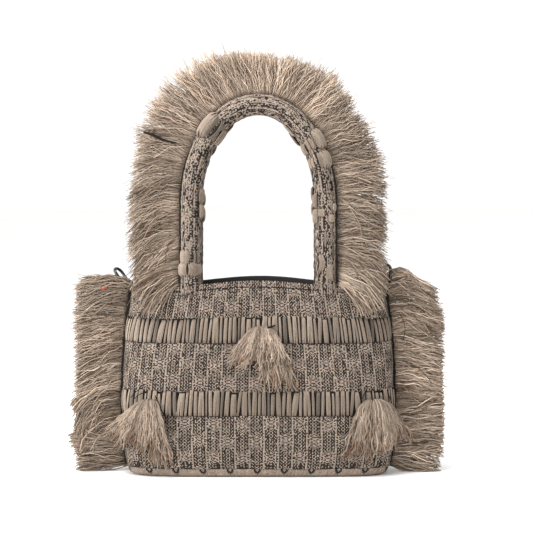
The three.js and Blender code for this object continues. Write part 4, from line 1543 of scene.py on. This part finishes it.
def tassel(name, spec, seed):
    """One tassel on the front of the pouch: a short frizzy layer over a longer bunch on one side."""
    chance = np.random.default_rng(seed)
    share = np.linspace(0.0, 1.0, TASSEL_POINTS)[None, :]
    paths, lock, over = tassel_paths(spec, share, chance)
    tints = tassel_tints(spec, share, lock, over, chance)
    thick = tapered(chance.uniform(*TASSEL_THICK, TASSEL_YARNS), share, taper=0.2)
    return yarn_bundle(name, paths, thick, tints)


for number, (where, spec) in enumerate(TASSELS.items()):
    settle(tassel(f"tassel_{where}_yarns", spec, 91 + number), "yarn", f"tassel_{where}")
print("tassels:", list(TASSELS))

# %% [markdown]
# ## Small stray threads
# Real cloth keeps traces of its making. A dark tacking thread with a knot runs over the upper band near the
# left handle, a dark weft thread closes each band below, and a dark wisp and a few dark threads lie loose in
# the fringes. One fleck of orange red wool is caught at the top of the left side fringe. Each is made of
# short yarns that lie on the cloth or on the fringe.

# %% Places of the stray threads
STRAY_POINTS = 7
FLECK_WOOL = colour(180, 82, 58)
TACK_START = -83.0
TACK_END = -57.0
TACK_PITCH = 3.4
TACK_STITCH = 2.5
TACK_HEIGHT = 141.6
TACK_SLOPE = 0.06
TACK_RISE = 1.6
KNOT_X = -54.0
KNOT_HEIGHT = 144.2
KNOT_RISE = 2.0
PULLED_RISE = 2.4
PULLED = np.array([
    # x and height of three places on dark threads that the tassel heads pull aside
    [(-113.0, 71.0), (-108.0, 77.0), (-102.6, 81.0)],
    [(-111.0, 69.0), (-106.0, 74.0), (-101.0, 76.5)],
    [(-91.5, 74.0), (-88.5, 67.0), (-84.5, 58.0)],
    [(92.5, 71.0), (94.5, 76.0), (97.5, 81.0)],
    [(115.0, 74.0), (117.5, 68.0), (118.5, 61.0)],
    [(8.0, 134.2), (11.5, 134.8), (15.3, 136.2)],
    [(8.4, 135.0), (11.8, 135.6), (15.0, 136.8)],
])
DARK_WISP = np.array([
    # x, y and height of a few corners, here and in the tables below
    (-102.5, -19.4, 309.0),
    (-93.5, -20.2, 306.0),
    (-84.5, -20.0, 301.8),
    (-73.5, -18.4, 299.0),
])
WISP_SPREAD = (0.4, 1.0, 0.8, 0.2)
FLECK = np.array([
    (-141.4, -10.8, 167.4),
    (-138.8, -11.6, 168.6),
    (-136.0, -10.8, 169.2),
])
FLECK_SPREAD = (0.7, 0.5, 0.2)
FAN = np.linspace(-1.1, 1.1, 5)
STRAYS = np.array([
    [(127.0, -10.0, 146.0), (131.5, -11.5, 138.0), (132.5, -12.0, 129.0), (131.0, -11.0, 121.0)],
    [(131.0, -10.5, 102.0), (139.0, -12.0, 99.0), (148.0, -12.0, 93.0), (156.0, -11.0, 84.0)],
])
print("pulled threads:", len(PULLED), "stray threads:", len(STRAYS))

# %% [markdown]
# ## Laying the stray threads
# A thread on the cloth follows the pouch at a small height above it, and one in a fringe is a soft line
# through its corners. The wisp and the fleck are a few yarns side by side, which fan out a little.

# %% Small stray threads
def along_cloth(x, height):
    """How far along the cloth from its middle a place x lies, at a height."""
    shares = np.linspace(-1.0, 1.0, 201)
    return np.interp(x, front_skin(shares, [height])[0, :, 0], shares) * BELLY_RUN / 2


def eased(corners):
    """A soft line through a few corner points."""
    steps = np.linspace(0.0, len(corners) - 1.0, STRAY_POINTS)
    return np.stack([flowing(steps, np.arange(len(corners)), corners[:, axis]) for axis in range(3)], axis=-1)


def fanned(corners, spread):
    """Yarns side by side along the corners, each corner spread upward by its own share."""
    return [eased(corners + rise * np.outer(spread, (0.0, 0.0, 1.0))) for rise in FAN]


def stray_yarns(name, paths, radius, wool):
    """Settles a few yarns of one colour on the bag."""
    tints = np.tile(wool, (len(paths), STRAY_POINTS, 1))
    return settle(yarn_bundle(name, np.array(paths), radius, tints), "yarn")


def closing_threads(seed):
    """The dark weft thread along the lower edge of each band, in short runs."""
    chance = np.random.default_rng(seed)
    paths = []
    for low, _ in BANDS:
        start = -BELLY_RUN / 2 + 4.0
        while start < BELLY_RUN / 2 - 16.0:
            run = chance.uniform(6.0, 13.0)
            where = np.linspace(start, start + run, STRAY_POINTS)
            heights = np.full(STRAY_POINTS, low - 0.7 + chance.normal(0.0, 0.15))
            paths.append(on_front(where, heights, np.full(STRAY_POINTS, 0.45)))
            start += run + chance.uniform(0.3, 2.6)
    return paths


def tacking():
    """Short dark stitches in a row, and the knot that ends them."""
    paths = []
    for start in np.arange(TACK_START, TACK_END, TACK_PITCH):
        x = np.linspace(start, start + TACK_STITCH, STRAY_POINTS)
        heights = TACK_HEIGHT + (x - TACK_START) * TACK_SLOPE
        rise = TACK_RISE + 0.3 * np.sin(np.linspace(0.0, np.pi, STRAY_POINTS))
        paths.append(on_front(along_cloth(x, 142.0), heights, rise))
    turn = np.linspace(0.0, 5.0, STRAY_POINTS)
    knot = along_cloth(KNOT_X, 144.0) + 1.2 * np.cos(turn)
    paths.append(on_front(knot, KNOT_HEIGHT + 1.1 * np.sin(turn), KNOT_RISE + 0.2 * turn))
    return paths


def pulled_threads():
    """Dark threads that bend toward the heads of the tassels."""
    paths = []
    steps = np.linspace(0.0, 2.0, STRAY_POINTS)
    for corners in PULLED:
        x, heights = (flowing(steps, np.arange(3), corners[:, axis]) for axis in range(2))
        where = [along_cloth(*place) for place in zip(x, heights)]
        paths.append(on_front(where, heights, np.full(STRAY_POINTS, PULLED_RISE)))
    return paths


front_closing = stray_yarns("front_closing_threads", closing_threads(95), radius=0.36, wool=SHADED_WOOL)
settle(turned_back(front_closing, "back_closing_threads"), "yarn")
stray_yarns("tacking_stitches", tacking(), radius=0.42, wool=SHADED_WOOL)
stray_yarns("pulled_threads", pulled_threads(), radius=0.5, wool=SHADED_WOOL)
stray_yarns("stray_threads", [eased(corners) for corners in STRAYS], radius=0.34, wool=DARK_WOOL)
stray_yarns("dark_wisp", fanned(DARK_WISP, WISP_SPREAD), radius=0.42, wool=DARK_WOOL)
stray_yarns("red_fleck", fanned(FLECK, FLECK_SPREAD), radius=0.4, wool=FLECK_WOOL)
print("the wisp and the fleck have", len(FAN), "yarns each")

# %% [markdown]
# ## Strap loops
# A small stiff black loop stands on a flat tongue that is sewn into the top of each side seam. It takes the
# hook of a shoulder strap. The loop is a rod bent into a closed ring, so it is drawn as a curve with a round
# thickness and then made a mesh. The tongue is a block with its edges rounded off.

# %% Strap loops
LOOP_HALF = 5.2
LOOP_STRAIGHT = 9.0
LOOP_ROUND = 1.4
LOOP_YAW = np.radians(62.0)
LOOP_FOOT = 174.0
TONGUE_LOW = 163.0
TONGUE_HALF = 1.1
TONGUE_EDGE = 0.5
# side, distance out from the middle, tip outward
LOOPS = {"left": (-1, 121.5, np.radians(40.0)), "right": (1, 117.0, np.radians(4.0))}


def bent_rod(name):
    """The closed ring of the loop, lying flat: two straight legs, a half circle and a bar across the foot."""
    bow = np.linspace(0.0, np.pi, 25)
    across = np.concatenate([[LOOP_HALF], LOOP_HALF * np.cos(bow), [-LOOP_HALF]])
    height = np.concatenate([[0.0], LOOP_STRAIGHT + LOOP_HALF * np.sin(bow), [0.0]])
    line = bpy.data.curves.new(name, "CURVE")
    line.dimensions = "3D"
    line.bevel_depth = LOOP_ROUND * MM
    line.bevel_resolution = 4
    spline = line.splines.new("POLY")
    spline.use_cyclic_u = True
    spline.points.add(len(across) - 1)
    for point, x, y in zip(spline.points, across, height):
        point.co = (x * MM, y * MM, 0.0, 1.0)
    drawn = add_object(name, line)
    bpy.context.view_layer.update()
    mesh = bpy.data.meshes.new_from_object(drawn.evaluated_get(bpy.context.evaluated_depsgraph_get()))
    bpy.data.objects.remove(drawn)
    return mesh


def strap_loop(name, side, out, tip):
    """One loop on its tongue, tipped outward and turned as it stands in the photograph."""
    mesh = bent_rod(name)
    turn = Matrix.Rotation(-side * LOOP_YAW, 4, "Z") @ Matrix.Rotation(np.pi / 2 - tip, 4, "X")
    mesh.transform(Matrix.Translation((side * out * MM, 0.0, LOOP_FOOT * MM)) @ turn)
    inner = flowing(TONGUE_LOW, HEIGHTS, HALF_WIDTHS) - CLOTH
    width = out + LOOP_HALF / 2 - inner
    size = Vector((width, 2 * TONGUE_HALF, LOOP_FOOT - TONGUE_LOW)) * MM
    middle = Vector((side * (inner + width / 2), 0.0, (LOOP_FOOT + TONGUE_LOW) / 2)) * MM
    body = bmesh.new()
    body.from_mesh(mesh)
    block = bmesh.ops.create_cube(body, size=1.0, matrix=Matrix.LocRotScale(middle, None, size))
    edges = {edge for vert in block["verts"] for edge in vert.link_edges}
    bmesh.ops.bevel(body, geom=list(edges), offset=TONGUE_EDGE * MM, segments=2, profile=0.5,
                    affect="EDGES", material=-1)
    bmesh.ops.recalc_face_normals(body, faces=body.faces)
    for face in body.faces:
        face.smooth = True
        face.material_index = 0
    body.to_mesh(mesh)
    body.free()
    mesh.materials.clear()
    mesh.materials.append(loop_finish)
    return add_object(name, mesh)


for where, (side, out, tip) in LOOPS.items():
    settle(strap_loop(f"strap_loop_{where}_rod", side, out, tip), "loop_black", f"strap_loop_{where}")
print("strap loops:", list(LOOPS))
